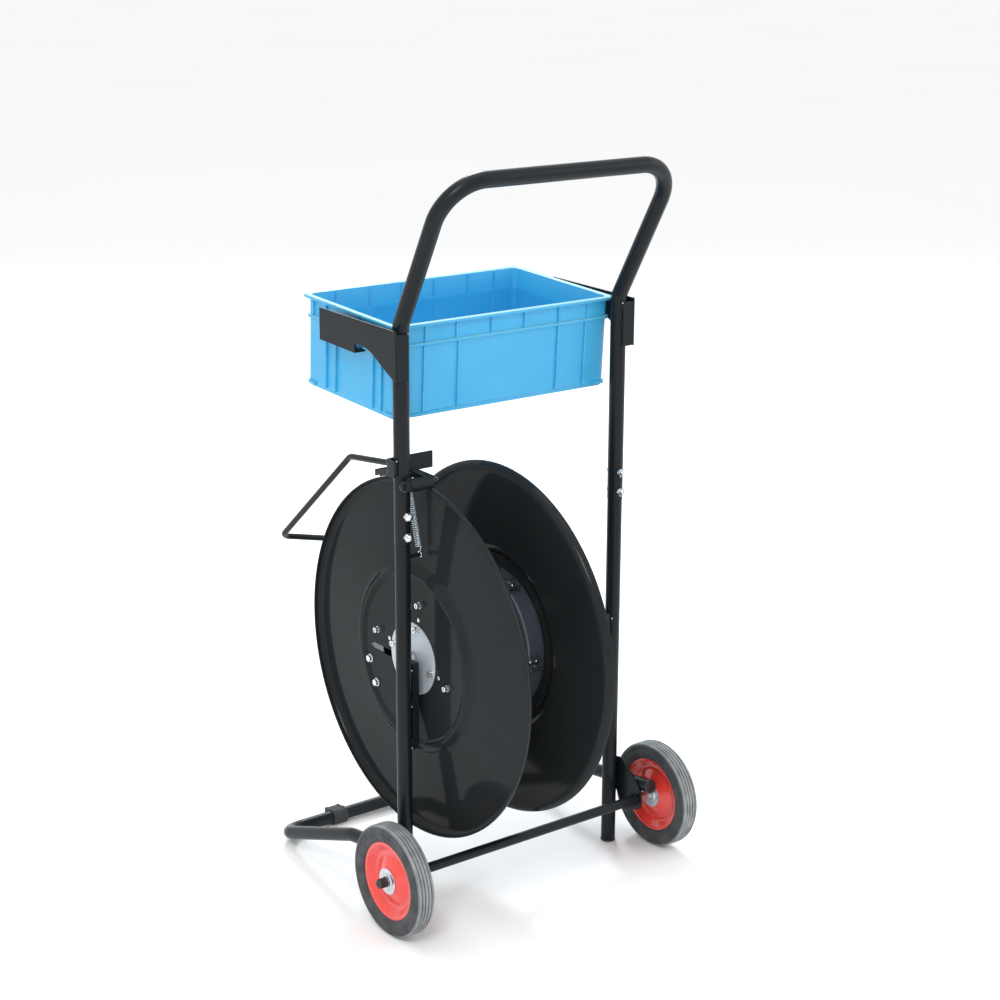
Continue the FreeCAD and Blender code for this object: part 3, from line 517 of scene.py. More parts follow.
def tube(bm, path, outer, wall, steps=48):
    """An open tube with a wall."""
    outside = sweep(bm, path, section_of(outer, steps), caps=False)
    inside = sweep(bm, path, section_of(outer - wall, steps), caps=False)
    bridge(bm, outside[0], inside[0])
    bridge(bm, outside[-1], inside[-1])


def slab(bm, outline, depth, place):
    """A plate: an outline of (a, b) points and a depth, put in place by a function of (a, b, c)."""
    near = [bm.verts.new(place(a, b, 0)) for a, b in outline]
    far = [bm.verts.new(place(a, b, depth)) for a, b in outline]
    bridge(bm, near, far)
    bm.faces.new(near)
    bm.faces.new(far)


def side_plate(bm, outline, inner, thick, sign):
    """A plate square to the reel's axis, on one side of the cart, from its inner face outwards."""
    slab(bm, outline, thick, lambda a, b, c: at(sign * (inner + c), a, b))


def both_sides(line, half):
    """The two lines that lie half a thickness off a centre line."""
    first, second = [], []
    for index, point in enumerate(line):
        ahead = (line[min(index + 1, len(line) - 1)] - line[max(index - 1, 0)]).normalized()
        normal = Vector((ahead.y, -ahead.x)) * half
        first.append(point + normal)
        second.append(point - normal)
    return first, second


def arc(centre, radius, start, end, steps=12):
    """Points round a circle in a plane, between two angles in degrees."""
    turns = [math.radians(start + (end - start) * step / steps) for step in range(steps + 1)]
    return [(centre[0] + radius * math.cos(turn), centre[1] + radius * math.sin(turn)) for turn in turns]


def evenly(path, pitch):
    """The same path as points an even step apart."""
    path = [Vector(point) for point in path]
    result, carried = [path[0]], 0.0
    for start, end in zip(path, path[1:]):
        run = (end - start).length
        while carried + run >= pitch:
            start = start + (end - start).normalized() * (pitch - carried)
            run = (end - start).length
            carried = 0.0
            result.append(start)
        carried += run
    return result


def weld(bm, path, radius, pitch=1.6 * MM):
    """A weld bead: overlapping ripples of slightly uneven size along a seam."""
    fine = evenly(path, pitch / 4)
    if len(fine) < 3:
        return

    def size_at(index):
        ripple = 0.86 + 0.14 * abs(math.sin(math.pi * index / 4))
        uneven = 1 + 0.12 * math.sin(index * 0.37) + 0.08 * math.sin(index * 1.13)
        ends = min(1, 0.35 + index * 0.22, 0.35 + (len(fine) - 1 - index) * 0.22)
        return ripple * uneven * ends
    sweep(bm, fine, section_of(radius, 12), size_at=size_at)


def circle_path(centre, first, second, radius, start=0, end=360, steps=48):
    turns = [math.radians(start + (end - start) * step / steps) for step in range(steps + 1)]
    return [centre + (first * math.cos(turn) + second * math.sin(turn)) * radius for turn in turns]


# ---------------------------------------------------------------- fasteners
def socket_screw(bm, seat, axis, head, high, across):
    """A socket cap screw standing on its seat: knurled side, chamfered top and a hexagon socket."""
    knurl = [head * (1 - 0.02 * (step % 2)) for step in range(48)]

    def gripped(turn):
        return knurl[round(turn / math.tau * 48) % 48]
    profile = [(-1.5 * MM, 0), (-1.5 * MM, head * 0.6), (0, head * 0.6), (0, head * 0.96),
               (0.15 * MM, gripped),
               (high * 0.8, gripped), (high * 0.82, head * 0.985), (high - 0.35 * MM, head * 0.985),
               (high, head - 0.5 * MM), (high, flats(across * 0.56, 6)),
               (high - 0.3 * MM, flats(across / 2, 6)),
               (high * 0.4, flats(across / 2, 6)), (high * 0.25, 0)]
    lathe(bm, profile, seat, axis, steps=48, closed=False)


def pin(bm, seat, axis, radius, start, end, steps=24):
    """A plain round bar along an axis, between two places on it."""
    lathe(bm, [(start, 0), (start, radius), (end, radius), (end, 0)], seat, axis, steps=steps, closed=False)


def hexagon_profile(across, low_, high_, bore=0.0, both=False):
    """Profile of a hexagon head or nut with its corners chamfered."""
    half = across / 2
    corner = half / math.cos(math.pi / 6)
    rise = (corner - half) * 0.55
    levels = [(half * 0.97, 0.0), (half * 1.04, rise * 0.35), (corner * 0.965, rise * 0.7), (corner, rise)]
    top = [(high_ - drop, flats(half, 6, limit)) for limit, drop in levels]
    bottom = [(low_ + drop, flats(half, 6, limit)) for limit, drop in levels] if both else \
        [(low_, flats(half, 6))]
    inner_top = [(high_, bore)] if bore == 0 else [(high_, bore + 0.4 * MM), (high_ - 0.4 * MM, bore)]
    inner_low = [(low_, bore)] if bore == 0 else [(low_ + 0.4 * MM, bore), (low_, bore + 0.4 * MM)]
    return inner_low + bottom + top[::-1] + inner_top


def hexagon(bm, seat, axis, across, high, bore=0.0, both=False):
    lathe(bm, hexagon_profile(across, 0.0, high, bore, both), seat, axis, steps=48, closed=bore > 0)


def dome_nut(bm, seat, axis, across, high):
    """An acorn nut: a short hexagon with a polished dome."""
    flat_high = high * 0.48
    dome = high - flat_high
    half = across / 2
    profile = [(0, 0), (0, half * 0.97), (0.4 * MM, flats(half, 6, half * 1.07)), (0.8 * MM, flats(half, 6)),
               (flat_high - 0.9 * MM, flats(half, 6)), (flat_high - 0.4 * MM, flats(half, 6, half * 1.07)),
               (flat_high, half * 0.97)]
    for step in range(1, 9):
        turn = math.pi / 2 * step / 8
        profile.append((flat_high + dome * math.sin(turn), half * 0.95 * math.cos(turn)))
    lathe(bm, profile[:-1] + [(high, 0)], seat, axis, steps=48, closed=False)


def washer(bm, seat, axis, outer, inner, thick):
    edge = min(0.25 * MM, thick / 3)
    lathe(bm, [(0, inner), (0, outer - edge), (edge, outer), (thick - edge, outer), (thick, outer - edge),
               (thick, inner)], seat, axis, steps=48)


def collar(bm, seat, axis, outer, inner, long, edge=0.5 * MM):
    lathe(bm,
          [(0, inner + edge), (0, outer - edge), (edge, outer), (long - edge, outer), (long, outer - edge),
               (long, inner + edge), (long - edge, inner), (edge, inner)], seat, axis, steps=64)


# ---------------------------------------------------------------- driving sizes, read from the frame
SIDES = (("left", -1), ("right", 1))
LOWER_RAD = (high("left_lower_post").x - low("left_lower_post").x) / 2
UPPER_RAD = 12.5 * MM
BASE_RAD = 11 * MM
ROD_RAD = 5 * MM
SHAFT_RAD = (high("reel_shaft").z - low("reel_shaft").z) / 2
DISC_RAD = (high("left_disc").z - low("left_disc").z) / 2
DRUM_RAD = (high("core_drum").z - low("core_drum").z) / 2
HUB_RAD = (high("left_hub_plate").z - low("left_hub_plate").z) / 2
TYRE_RAD = high("left_tyre").z / 2
LIP_RAD = 13 * MM
PLATE_LEFT, PLATE_RIGHT = low("left_hub_plate").x, high("right_hub_plate").x
AXLE = middle("axle_rod")
POST_MM = POST_X / MM
PIVOT = middle("pivot_sleeve")
LEG_X = high("base_tube").x / MM - 11
BAR_DEEP = (high("base_tube").y - POST_Y) / MM - 11
BAR_UP = low("base_tube").z / MM + 11


# ---------------------------------------------------------------- upright frame
def handle():
    """One tube: up the left post, back at the bend, across as the push bar, and down again."""
    foot, bend = low("handle_tube").z / MM, 938
    top, back, half = high("handle_tube").z / MM - 12.5, -122, 215
    corners = [at(-POST_MM, 0, foot), at(-POST_MM, 0, bend), at(-half, back, top),
               at(half, back, top), at(POST_MM, 0, bend), at(POST_MM, 0, foot)]
    path = rounded(corners, [0, 30 * MM, 68 * MM, 68 * MM, 30 * MM, 0], steps=24)
    bm = bmesh.new()
    tube(bm, path, UPPER_RAD, 1.4 * MM, steps=64)
    painted(bm, "handle_bent_tube", ["handle_tube"])


def lower_posts():
    """Each lower tube is swaged down at the top, where it goes up inside the handle tube."""
    shoulder = low("handle_tube").z / MM - 0.5
    wide, slim, wall = LOWER_RAD / MM, 11, 1.5
    for side, sign in SIDES:
        node = f"{side}_lower_post"
        bottom, top = low(node).z / MM, high(node).z / MM
        outside = [(bottom, wide), (shoulder, wide), (shoulder, slim), (top, slim)]
        inside = [(top, slim - wall), (shoulder - 3, slim - wall), (shoulder - 3, wide - wall),
                  (bottom, wide - wall)]
        profile = rounded([(a * MM, r * MM) for a, r in outside + inside], [0, 0.8 * MM, 0, 0, 0, 0, 0, 0], 4,
                          closed=True)
        bm = bmesh.new()
        lathe(bm, profile, at(sign * POST_MM, 0, 0), Z, steps=64)
        painted(bm, f"{side}_post_tube", [node])


def foot_caps():
    """Moulded plugs with a rounded sole and a small lip against the tube."""
    outer = LOWER_RAD + 0.6 * MM
    profile = rounded([(0, 0), (0, outer), (3 * MM, outer), (3 * MM, LOWER_RAD - 1.6 * MM),
                       (16.9 * MM, LOWER_RAD - 2.2 * MM), (16.9 * MM, 0)],
                      [0, 1.2 * MM, 0.6 * MM, 0, MM, 0], 4)
    bm = bmesh.new()
    for sign in (-1, 1):
        lathe(bm, profile, at(sign * POST_MM, 0, 0), Z, steps=64, closed=False)
    piece_from(bm, "post_end_plugs", PLASTIC, "frame", ["post_foot_caps"])


def joint_fasteners():
    bolts, nuts = bmesh.new(), bmesh.new()
    for sign in (-1, 1):
        for up in (618.5, 651):
            back, front = at(sign * POST_MM, -12.5, up), at(sign * POST_MM, 12.5, up)
            pin(bolts, back, Y, 3.8 * MM, -1.9 * MM, 25.2 * MM)
            lathe(bolts, [(0, 0), (0, 5.5 * MM), (1.4 * MM, 5.5 * MM), (2.2 * MM, 4.4 * MM), (2.2 * MM, 0)],
                  front, Y, steps=32, closed=False)
            dome_nut(nuts, back, -Y, 13 * MM, 11.8 * MM)
    piece_from(bolts, "joint_low_head_bolts", POWDER, "frame", ["post_joint_bolts"])
    piece_from(nuts, "joint_dome_nuts", CHROME, "frame", ["post_joint_nuts"])


# ---------------------------------------------------------------- base, axle and feet
def base_path():
    def leg(sign):
        return [at(sign * LEG_X, -74, 116.5), at(sign * LEG_X, 112, 93), at(sign * LEG_X, BAR_DEEP, BAR_UP)]
    return rounded(leg(-1) + leg(1)[::-1], [0, 70 * MM, 42 * MM, 42 * MM, 70 * MM, 0], steps=24)


def base():
    bm = bmesh.new()
    path = base_path()
    tube(bm, path, BASE_RAD, 1.6 * MM, steps=64)
    painted(bm, "base_bent_tube", ["base_tube"])
    bm = bmesh.new()
    rim = BASE_RAD + 0.7 * MM
    profile = rounded([(-12 * MM, 0), (-12 * MM, 9 * MM), (0, 9.3 * MM), (0, rim), (3 * MM, rim),
                       (3 * MM, 0)],
                      [0, MM, 0, 0.5 * MM, 1.6 * MM, 0], 5)
    for end, inner in ((path[0], path[1]), (path[-1], path[-2])):
        lathe(bm, profile, end, (end - inner).normalized(), steps=64, closed=False)
    piece_from(bm, "base_end_plugs", PLASTIC, "frame", ["base_end_caps"])


def foot_pads():
    """Moulded sleeves round the front bar, with a lug in front and ribs to grip the floor."""
    bm = bmesh.new()
    rad, long, lug = 14, 27, 20
    outline = arc((0, 14), rad, 62, 270, 30)[:-1]
    outline += [(2, 0), (lug - 1.5, 0), (lug, 1.5), (lug, 24), (lug - 2, 26), (7.5, 26)]
    for sign in (-1, 1):
        centre = sign * 122
        for start, width, shrink in ((-long / 2, 4, 0), (-long / 2 + 4, long - 8, 0.7), (long / 2 - 4, 4, 0)):
            points = [(a * (1 - shrink / rad), 14 + (b - 14) * (1 - shrink / rad)) for a, b in outline]
            slab(bm, points, width,
                 lambda a, b, c, s=start, m=centre: at(m + s + c, BAR_DEEP + a, max(0.02, b)))
    piece_from(bm, "moulded_foot_sleeves", RUBBER, "frame", ["front_foot_pads"],
               bevel=0.5 * MM)


def axle_plates():
    corners = [(0.5, 150), (-14, 152), (-45, 131), (-67, 106), (-69, 76), (-50, 69.5), (-22, 70), (0.5, 97)]
    radii = [0, 4, 14, 16, 14, 8, 10, 0]
    outline = rounded(corners, radii, 6, closed=True)
    for side, sign in SIDES:
        inner = low("right_axle_plate").x / MM
        bm = bmesh.new()
        side_plate(bm, outline, inner, 3, sign)
        painted(bm, f"{side}_axle_gusset", [f"{side}_axle_plate"],
                   bevel=0.45 * MM)


def axle():
    half = high("cross_tube").x
    bm = bmesh.new()
    path = [Vector((-half, AXLE.y, AXLE.z)), Vector((half, AXLE.y, AXLE.z))]
    tube(bm, path, 8 * MM, 1.5 * MM)
    painted(bm, "axle_cross_tube", ["cross_tube"])
    end = high("axle_rod").x
    bm = bmesh.new()
    lathe(bm, [(-end, 0), (-end, 5 * MM), (-end + MM, 6 * MM), (end - MM, 6 * MM), (end, 5 * MM), (end, 0)],
          Vector((0, AXLE.y, AXLE.z)), X, steps=48, closed=False)
    piece_from(bm, "axle_bar", STEEL, "frame", ["axle_rod"])
    spacers, washers, caps = bmesh.new(), bmesh.new(), bmesh.new()
    plate, wheel = high("right_axle_plate").x, middle("right_tyre").x
    cap_end = high("axle_end_caps").x
    for sign in (-1, 1):
        def out(place):
            return Vector((sign * place, AXLE.y, AXLE.z))
        collar(spacers, out(plate), X * sign, 8 * MM, 6.1 * MM, wheel - 12.4 * MM - plate, 0.4 * MM)
        for number in range(2):
            washer(washers, out(wheel + (12.4 + 1.45 * number) * MM), X * sign, 8 * MM, 6.1 * MM, 1.3 * MM)
        start = wheel + 15.6 * MM
        long = cap_end - start
        profile = rounded([(0, 6.05 * MM), (0, 8 * MM), (long, 7.6 * MM), (long, 3.2 * MM),
                           (long - 1.2 * MM, 2.6 * MM),
                           (long - 1.2 * MM, 0)], [0, 0.4 * MM, 2.2 * MM, 0.5 * MM, 0.4 * MM, 0], 5)
        lathe(caps, profile, out(start), X * sign, steps=64, closed=False)
    piece_from(spacers, "axle_spacer_tubes", ZINC, "frame", ["axle_spacers"])
    piece_from(washers, "axle_flat_washers", ZINC, "frame", ["axle_washers"])
    piece_from(caps, "axle_push_caps", PLASTIC, "frame", ["axle_end_caps"])


# ---------------------------------------------------------------- wheels
def tyre_profile():
    """Section of the solid tyre: seat, walls with a raised band, shoulders and a grooved running face."""
    rad = TYRE_RAD / MM
    grooves, groove_wide, groove_deep = (3.0, 8.6), 0.9, 2.6
    side = [(0, 47.9), (9.9, 57.9), (9.9, 62.1), (12.0, 62.1), (13.6, 63.4), (15.0, 66.2), (16.0, 70.0),
            (16.3, 72.5), (16.25, 75), (15.7, 75.6), (15.6, 80.5), (15.9, 81.2), (15.4, 84.2), (14.0, 87.0),
            (12.2, 88.3)]
    crown = []
    for groove in grooves[::-1]:
        crown += [(groove + groove_wide + 0.35, rad - 0.02), (groove + groove_wide, rad - 0.4),
                  (groove + groove_wide * 0.75, rad - groove_deep)]
        crown += [(groove - groove_wide * 0.75, rad - groove_deep), (groove - groove_wide, rad - 0.4),
                  (groove - groove_wide - 0.35, rad - 0.02)]
    half = side + crown
    return half + [(-a, r) for a, r in reversed(half[1:])]


def rim_profile():
    """One pressed half of the rim, from its bearing seat over the cone to the tyre flange, 1.7 mm thick."""
    front = [(11.8, 15.7), (11.8, 20.8), (1.7, 40.6), (1.7, 46.9), (12, 57.3), (12, 61.9)]
    back = [(10.3, 61.9), (10.3, 58.0), (0.08, 47.6), (0.08, 40.1), (10.2, 20.1), (10.2, 15.7)]
    outline = [(a * MM, r * MM) for a, r in front + back]
    radii = [0.3, 4, 7, 7, 3, 0.5, 0.5, 2, 6, 6, 3, 0.3]
    return rounded(outline, [radius * MM for radius in radii], 6, closed=True)


def wheels():
    tread = [(a * MM, r * MM) for a, r in tyre_profile()]
    for side, sign in SIDES:
        body = f"{side}_wheel"
        centre = middle(f"{side}_tyre")
        bm = bmesh.new()
        lathe(bm, tread, centre, X, steps=160)
        piece_from(bm, f"{side}_solid_tyre", TYRE, body, [f"{side}_tyre"])
        for face, direction in (("outer", sign), ("inner", -sign)):
            bm = bmesh.new()
            lathe(bm, rim_profile(), centre, X * direction, steps=128)
            piece_from(bm, f"{side}_rim_{face}_pressing", RED, body, [f"{side}_rim_{face}_half"])
        bm = bmesh.new()
        for direction in (-1, 1):
            seat = centre + X * direction * 12.15 * MM
            profile = rounded([(0, 8.7 * MM), (0, 21 * MM), (0.9 * MM, 21 * MM), (0.9 * MM, 13.5 * MM),
                               (2.8 * MM, 11.6 * MM), (2.8 * MM, 8.7 * MM)],
                              [0, 0.3 * MM, 0.5 * MM, 1.2 * MM, 0.7 * MM, 0.3 * MM], 4)
            lathe(bm, profile, seat, X * direction, steps=96)
        piece_from(bm, f"{side}_pressed_covers", ZINC, body, [f"{side}_bearing_covers"])
        bm = bmesh.new()
        collar(bm, centre - X * 11.9 * MM, X, 15.6 * MM, 14 * MM, 23.8 * MM, 0.3 * MM)
        piece_from(bm, f"{side}_hub_tube", ZINC, body, [f"{side}_wheel_hub"])
        bm = bmesh.new()
        for start in (-11.9, 3.9):
            collar(bm, centre + X * start * MM, X, 13.98 * MM, 11.2 * MM, 8 * MM, 0.4 * MM)
            collar(bm, centre + X * start * MM, X, 8.6 * MM, 6.08 * MM, 8 * MM, 0.4 * MM)
            collar(bm, centre + X * (start + 0.9) * MM, X, 11.1 * MM, 8.7 * MM, 6.2 * MM, 0.2 * MM)
        piece_from(bm, f"{side}_ball_bearings", STEEL, body, [f"{side}_wheel_bearings"])


# ---------------------------------------------------------------- reel
SCREW_ANGLE, BOLT_ANGLE = 12, 13
ANCHOR_ANGLES = (-16.5, -35)
SCREW_RING, BOLT_RING, HOLE_RING, ANCHOR_RING = 51, 95, 67, 124


def round_reel(across, ring, angle):
    """A place about the reel's axis: metres along it, millimetres out from it and an angle in degrees."""
    turn = math.radians(angle)
    return Vector((across, REEL.y + ring * MM * math.cos(turn), REEL.z + ring * MM * math.sin(turn)))


def on_axis(across=0):
    """A place on the reel's axis."""
    return Vector((across, REEL.y, REEL.z))


def disc_profile(edge, crest, face, out):
    """Closed section of a pressed disc: flat hub, raised ring, shallow dish and a lip flared off the core."""
    rad, bend = DISC_RAD / MM, LIP_RAD / MM
    middle_line = [(face - out * 0.75, 17.2), (face - out * 0.75, 129.5), (crest - out * 0.75, 137.6),
                   (crest - out * 10.4, 151.5), (edge + out * 1.0, rad - bend - 8)]
    line = rounded(middle_line, [0, 5, 6.5, 26, 0], 10)
    line += [Vector((edge + out * (bend + a), rad - bend + b))
             for a, b in arc((0, 0), bend - 0.75, 180, 90, 24)]
    line.append(line[-1] + Vector((out * 0.6, 0)))
    front, back = both_sides(line, out * 0.75)
    seat = line[-1] - Vector((0, 0.9))
    hem = [seat + Vector((out * a, b)) for a, b in arc((0, 0), 1.65, -150, 90, 12)]
    return [(a * MM, r * MM) for a, r in front[:-1] + hem + back[::-1]]


def ripple(piece, out):
    """Presses a shallow unevenness, as spun sheet has, into the dished part of a disc."""
    for vertex in piece.data.vertices:
        offset = Vector((0, vertex.co.y - REEL.y, vertex.co.z - REEL.z))
        radius = offset.length / MM
        share = max(0.0, min(1.0, (radius - 158) / 30)) * max(0.0, min(1.0, (268 - radius) / 20))
        wave = math.sin(3 * math.atan2(offset.z, offset.y) + 0.6) * 0.35 + math.sin(radius / 21) * 0.10
        wave += noise_at.noise(offset * 9) * 0.5
        vertex.co.x += out * share * wave * 0.55 * MM


def punched(piece, holes, slotted=False):
    """Cuts round holes, given as (ring, angle, radius), and the strap slot through a disc."""
    bm = bmesh.new()
    where = piece.data.vertices[0].co.x
    for ring, angle, radius in holes:
        pin(bm, round_reel(where, ring, angle), X, radius * MM, -0.02, 0.02)
    if slotted:
        outline = rounded([(52, -16.5), (117, -16.5), (117, -5.5), (52, -5.5)], [0, 5, 5, 0], 6, closed=True)
        slab(bm, outline, 40,
             lambda a, b, c: Vector((where - 0.02 + c * MM, REEL.y + a * MM, REEL.z + b * MM)))
    bmesh.ops.recalc_face_normals(bm, faces=bm.faces)
    punch = in_scene("punch", mesh_from(bm, "punch"))
    cut = piece.modifiers.new("holes", "BOOLEAN")
    cut.object = punch
    cut.solver = "EXACT"
    applied(piece)
    bpy.data.objects.remove(punch)


def discs():
    index_holes = [(HOLE_RING, SCREW_ANGLE + 90 * number, 3.5) for number in range(4)]
    index_holes += [(HOLE_RING - 3, SCREW_ANGLE + 45 + 90 * number, 1.7) for number in range(4)]
    for side, edge, crest, face, out in (("left", -159, -180, -173.7, -1), ("right", -22.5, -7.5, -6.5, 1)):
        bm = bmesh.new()
        lathe(bm, disc_profile(edge, crest, face, out), on_axis(), X, steps=240)
        piece = piece_from(bm, f"{side}_spun_disc", ENAMEL, "reel", [f"{side}_disc"])
        ripple(piece, out)
        punched(piece, index_holes, side == "left")
        piece.data.set_sharp_from_angle(angle=SHARP)


def hub():
    """Hub plates with bevelled edges, socket screws, and the bolts and nuts that clamp discs to core."""
    screws, bolts, nuts = bmesh.new(), bmesh.new(), bmesh.new()
    for side, plate, out in (("left", PLATE_LEFT, -1), ("right", PLATE_RIGHT, 1)):
        face = plate - out * 2 * MM
        bm = bmesh.new()
        bore = SHAFT_RAD + 0.3 * MM
        profile = rounded([(0, bore), (0, HUB_RAD), (2 * MM, HUB_RAD), (2 * MM, bore)],
                          [0, 0, 0.5 * MM, 0.3 * MM], 4)
        lathe(bm, profile, on_axis(face), X * out, steps=160)
        piece_from(bm, f"{side}_hub_ring", BRUSHED, "reel", [f"{side}_hub_plate"])
        for number in range(4):
            turn = 90 * number
            seat = round_reel(plate, SCREW_RING, SCREW_ANGLE + turn)
            washer(screws, seat, X * out, 5.8 * MM, 3.1 * MM, 0.9 * MM)
            socket_screw(screws, seat + X * out * 0.9 * MM, X * out, 4.9 * MM, 5.4 * MM, 4 * MM)
            rivet = round_reel(face, HOLE_RING, SCREW_ANGLE + turn)
            lathe(screws, [(-1.6 * MM, 0), (-1.6 * MM, 3.3 * MM), (0.3 * MM, 3.3 * MM), (0.9 * MM, 2.4 * MM),
                           (1.1 * MM, 0)], rivet, X * out, steps=20, closed=False)
            seat = round_reel(face, BOLT_RING, BOLT_ANGLE + turn)
            hexagon(nuts, seat, X * out, 10 * MM, 4.9 * MM, bore=3.0 * MM, both=True)
            pin(bolts, seat, X * out, 2.9 * MM, -9 * MM, 7 * MM)
            socket_screw(bolts, seat + X * out * 6.4 * MM, X * out, 4.5 * MM, 4.1 * MM, 4 * MM)
    piece_from(screws, "hub_socket_screws", CHROME, "reel", ["hub_screws"])
    piece_from(bolts, "disc_socket_bolts", CHROME, "reel", ["disc_bolts"])
    piece_from(nuts, "disc_hexagon_nuts", ZINC, "reel", ["disc_nuts"])


def drum():
    """Rolled core: a thin shell with folded ends, a seam weld across it and pressed stiffening grooves."""
    left, right = low("core_drum").x, high("core_drum").x
    rad = DRUM_RAD
    inner = rad - 32 * MM
    wall = 2 * MM
    grooves = []
    for place in (0.2, 0.8):
        mid = left + (right - left) * place
        grooves += [(mid - 4 * MM, rad - 0.1 * MM), (mid - 2 * MM, rad - 1.1 * MM),
                    (mid + 2 * MM, rad - 1.1 * MM),
                    (mid + 4 * MM, rad - 0.1 * MM)]
    outside = [(left, inner), (left, rad)] + grooves + [(right, rad), (right, inner)]
    inside = [(right - wall, inner), (right - wall, rad - wall * 1.6), (left + wall, rad - wall * 1.6),
              (left + wall, inner)]
    radii = [0, 1.2 * MM] + [2.5 * MM] * len(grooves) + [1.2 * MM, 0, 0, 2.5 * MM, 2.5 * MM, 0]
    profile = rounded(outside + inside, radii, 5, closed=True)
    bm = bmesh.new()
    lathe(bm, profile, on_axis(), X, steps=192)
    seam = [round_reel(left + 5 * MM, rad / MM - 0.2, 245), round_reel(right - 5 * MM, rad / MM - 0.2, 245)]
    weld(bm, seam, 1.6 * MM, 2.2 * MM)
    piece_from(bm, "rolled_core", CORE_ENAMEL_LIT, "reel", ["core_drum"])


def strap_clips():
    """Curled sheet clips riveted to the core: the strap's end slides under the curl."""
    root = -(DRUM_RAD / MM + 0.9)
    outline = [(root, 2.4), (root, -7.5), (root - 2.4, -10.8), (root - 6.2, -9.2), (root - 8.8, -15)]
    curl = rounded([(root - 10.6, 4.2)] + outline, [0, 3, 2.6, 2.4, 3.0, 0], 6)
    bm = bmesh.new()
    left, wide = -42, 22
    for turn in (-62, 0):
        spin = Matrix.Rotation(math.radians(turn), 4, "X")
        path = [spin @ Vector((left * MM + wide * MM / 2, a * MM, b * MM)) + on_axis() for a, b in curl]
        half, thick = wide / 2 * MM, 0.85 * MM
        section = [(-half, -thick), (half, -thick), (half, thick), (-half, thick)]
        sweep(bm, path, section, side=X)
        for across in (-6, 6):
            seat = spin @ Vector(((left + wide / 2 + across) * MM, root * MM, -2.2 * MM)) + on_axis()
            lathe(bm, [(0, 0), (0, 2.4 * MM), (1.5 * MM, 2.1 * MM), (2.1 * MM, 1.2 * MM), (2.2 * MM, 0)],
                  seat, spin.to_3x3() @ -Y, steps=20, closed=False)
    piece_from(bm, "curled_strap_clips", CHROME, "reel", ["strap_clips"], bevel=0.15 * MM)


def strap_anchor():
    bolts = bmesh.new()
    for angle in ANCHOR_ANGLES:
        face = PLATE_LEFT + 2 * MM
        seat = round_reel(face, ANCHOR_RING, angle)
        washer(bolts, seat, -X, 6.8 * MM, 3 * MM, 1.6 * MM)
        hexagon(bolts, seat - X * 1.6 * MM, -X, 10 * MM, 4.4 * MM)
        pin(bolts, seat, -X, 2.9 * MM, -9 * MM, 0)
    piece_from(bolts, "anchor_washer_bolts", CHROME, "reel", ["anchor_bolts"])


def shaft():
    half = high("reel_shaft").x
    bm = bmesh.new()
    lathe(bm,
          [(-half, 0), (-half, SHAFT_RAD - 1.2 * MM), (-half + 1.2 * MM, SHAFT_RAD),
           (half - 1.2 * MM, SHAFT_RAD),
               (half, SHAFT_RAD - 1.2 * MM), (half, 0)], on_axis(), X, steps=64, closed=False)
    piece_from(bm, "reel_shaft_bar", STEEL, "frame", ["reel_shaft"])
    stops = bmesh.new()
    outer = high("reel_stop_collars").z - REEL.z - 0.1 * MM
    thrust_start, thrust_end = low("shaft_thrust_collar").x, high("shaft_thrust_collar").x
    left, right = low("reel_stop_collars").x, high("reel_stop_collars").x
    for start, end in ((left, PLATE_LEFT - 0.4 * MM), (PLATE_RIGHT + 0.4 * MM, right),
                       (thrust_start, thrust_end)):
        place = on_axis(start)
        collar(stops, place, X, outer, SHAFT_RAD + 0.05 * MM, end - start, 0.8 * MM)
    piece_from(stops, "shaft_collars", ZINC, "frame", ["reel_stop_collars", "shaft_thrust_collar"])


def saddles():
    """Bearing plates welded inside the posts; the shaft drops into a round notch from the top."""
    top, bottom = high("left_shaft_saddle").z / MM, low("left_shaft_saddle").z / MM
    notch_rad, axis = SHAFT_RAD / MM + 0.15, REEL.z / MM
    notch = [(25 + notch_rad, top)] + arc((25, axis), notch_rad, 0, -180, 24) + [(25 - notch_rad, top)]
    outline = [(-8, bottom + 2), (-6, bottom), (4, bottom), (38, bottom + 66), (38, top - 1), (37, top)]
    outline += notch + [(-7, top), (-8, top - 1)]
    inner, outer = 187, 198
    for side, sign in SIDES:
        bm = bmesh.new()
        side_plate(bm, outline, inner, outer - inner, sign)
        painted(bm, f"{side}_bearing_plate", [f"{side}_shaft_saddle"],
                   bevel=0.6 * MM)


# ---------------------------------------------------------------- brake
def pivot_and_stop():
    bm = bmesh.new()
    start, end = low("pivot_sleeve").x, high("pivot_sleeve").x
    collar(bm, Vector((start, PIVOT.y, PIVOT.z)), X, 10 * MM, ROD_RAD + 0.1 * MM, end - start, 0.8 * MM)
    painted(bm, "lever_pivot_tube", ["pivot_sleeve"])
    bm = bmesh.new()
    centre_line = rounded([(-144, 14.15), (-227.5, 14.15), (-227.5, -8)], [0, 4.5, 0], 10)
    side, other = both_sides(centre_line, 1.5)
    strip_low, strip_high = low("stop_strip").z / MM, high("stop_strip").z / MM
    slab(bm, side + other[::-1], strip_high - strip_low,
         lambda a, b, c: at(a, b, strip_low + c))
    painted(bm, "bent_stop_strip", ["stop_strip"], bevel=0.4 * MM)
    bm = bmesh.new()
    start, end = low("spring_stud"), high("spring_stud")
    long = end.x - start.x
    lathe(bm,
          [(0, 0), (0, 3 * MM), (long - 3.4 * MM, 3 * MM), (long - 3.1 * MM, 2.5 * MM),
           (long - 1.6 * MM, 2.5 * MM),
               (long - 1.3 * MM, 3 * MM), (long - 0.5 * MM, 3 * MM), (long, 2.5 * MM), (long, 0)],
          Vector((start.x, middle("spring_stud").y, middle("spring_stud").z)), X, steps=32, closed=False)
    painted(bm, "grooved_spring_stud", ["spring_stud"])


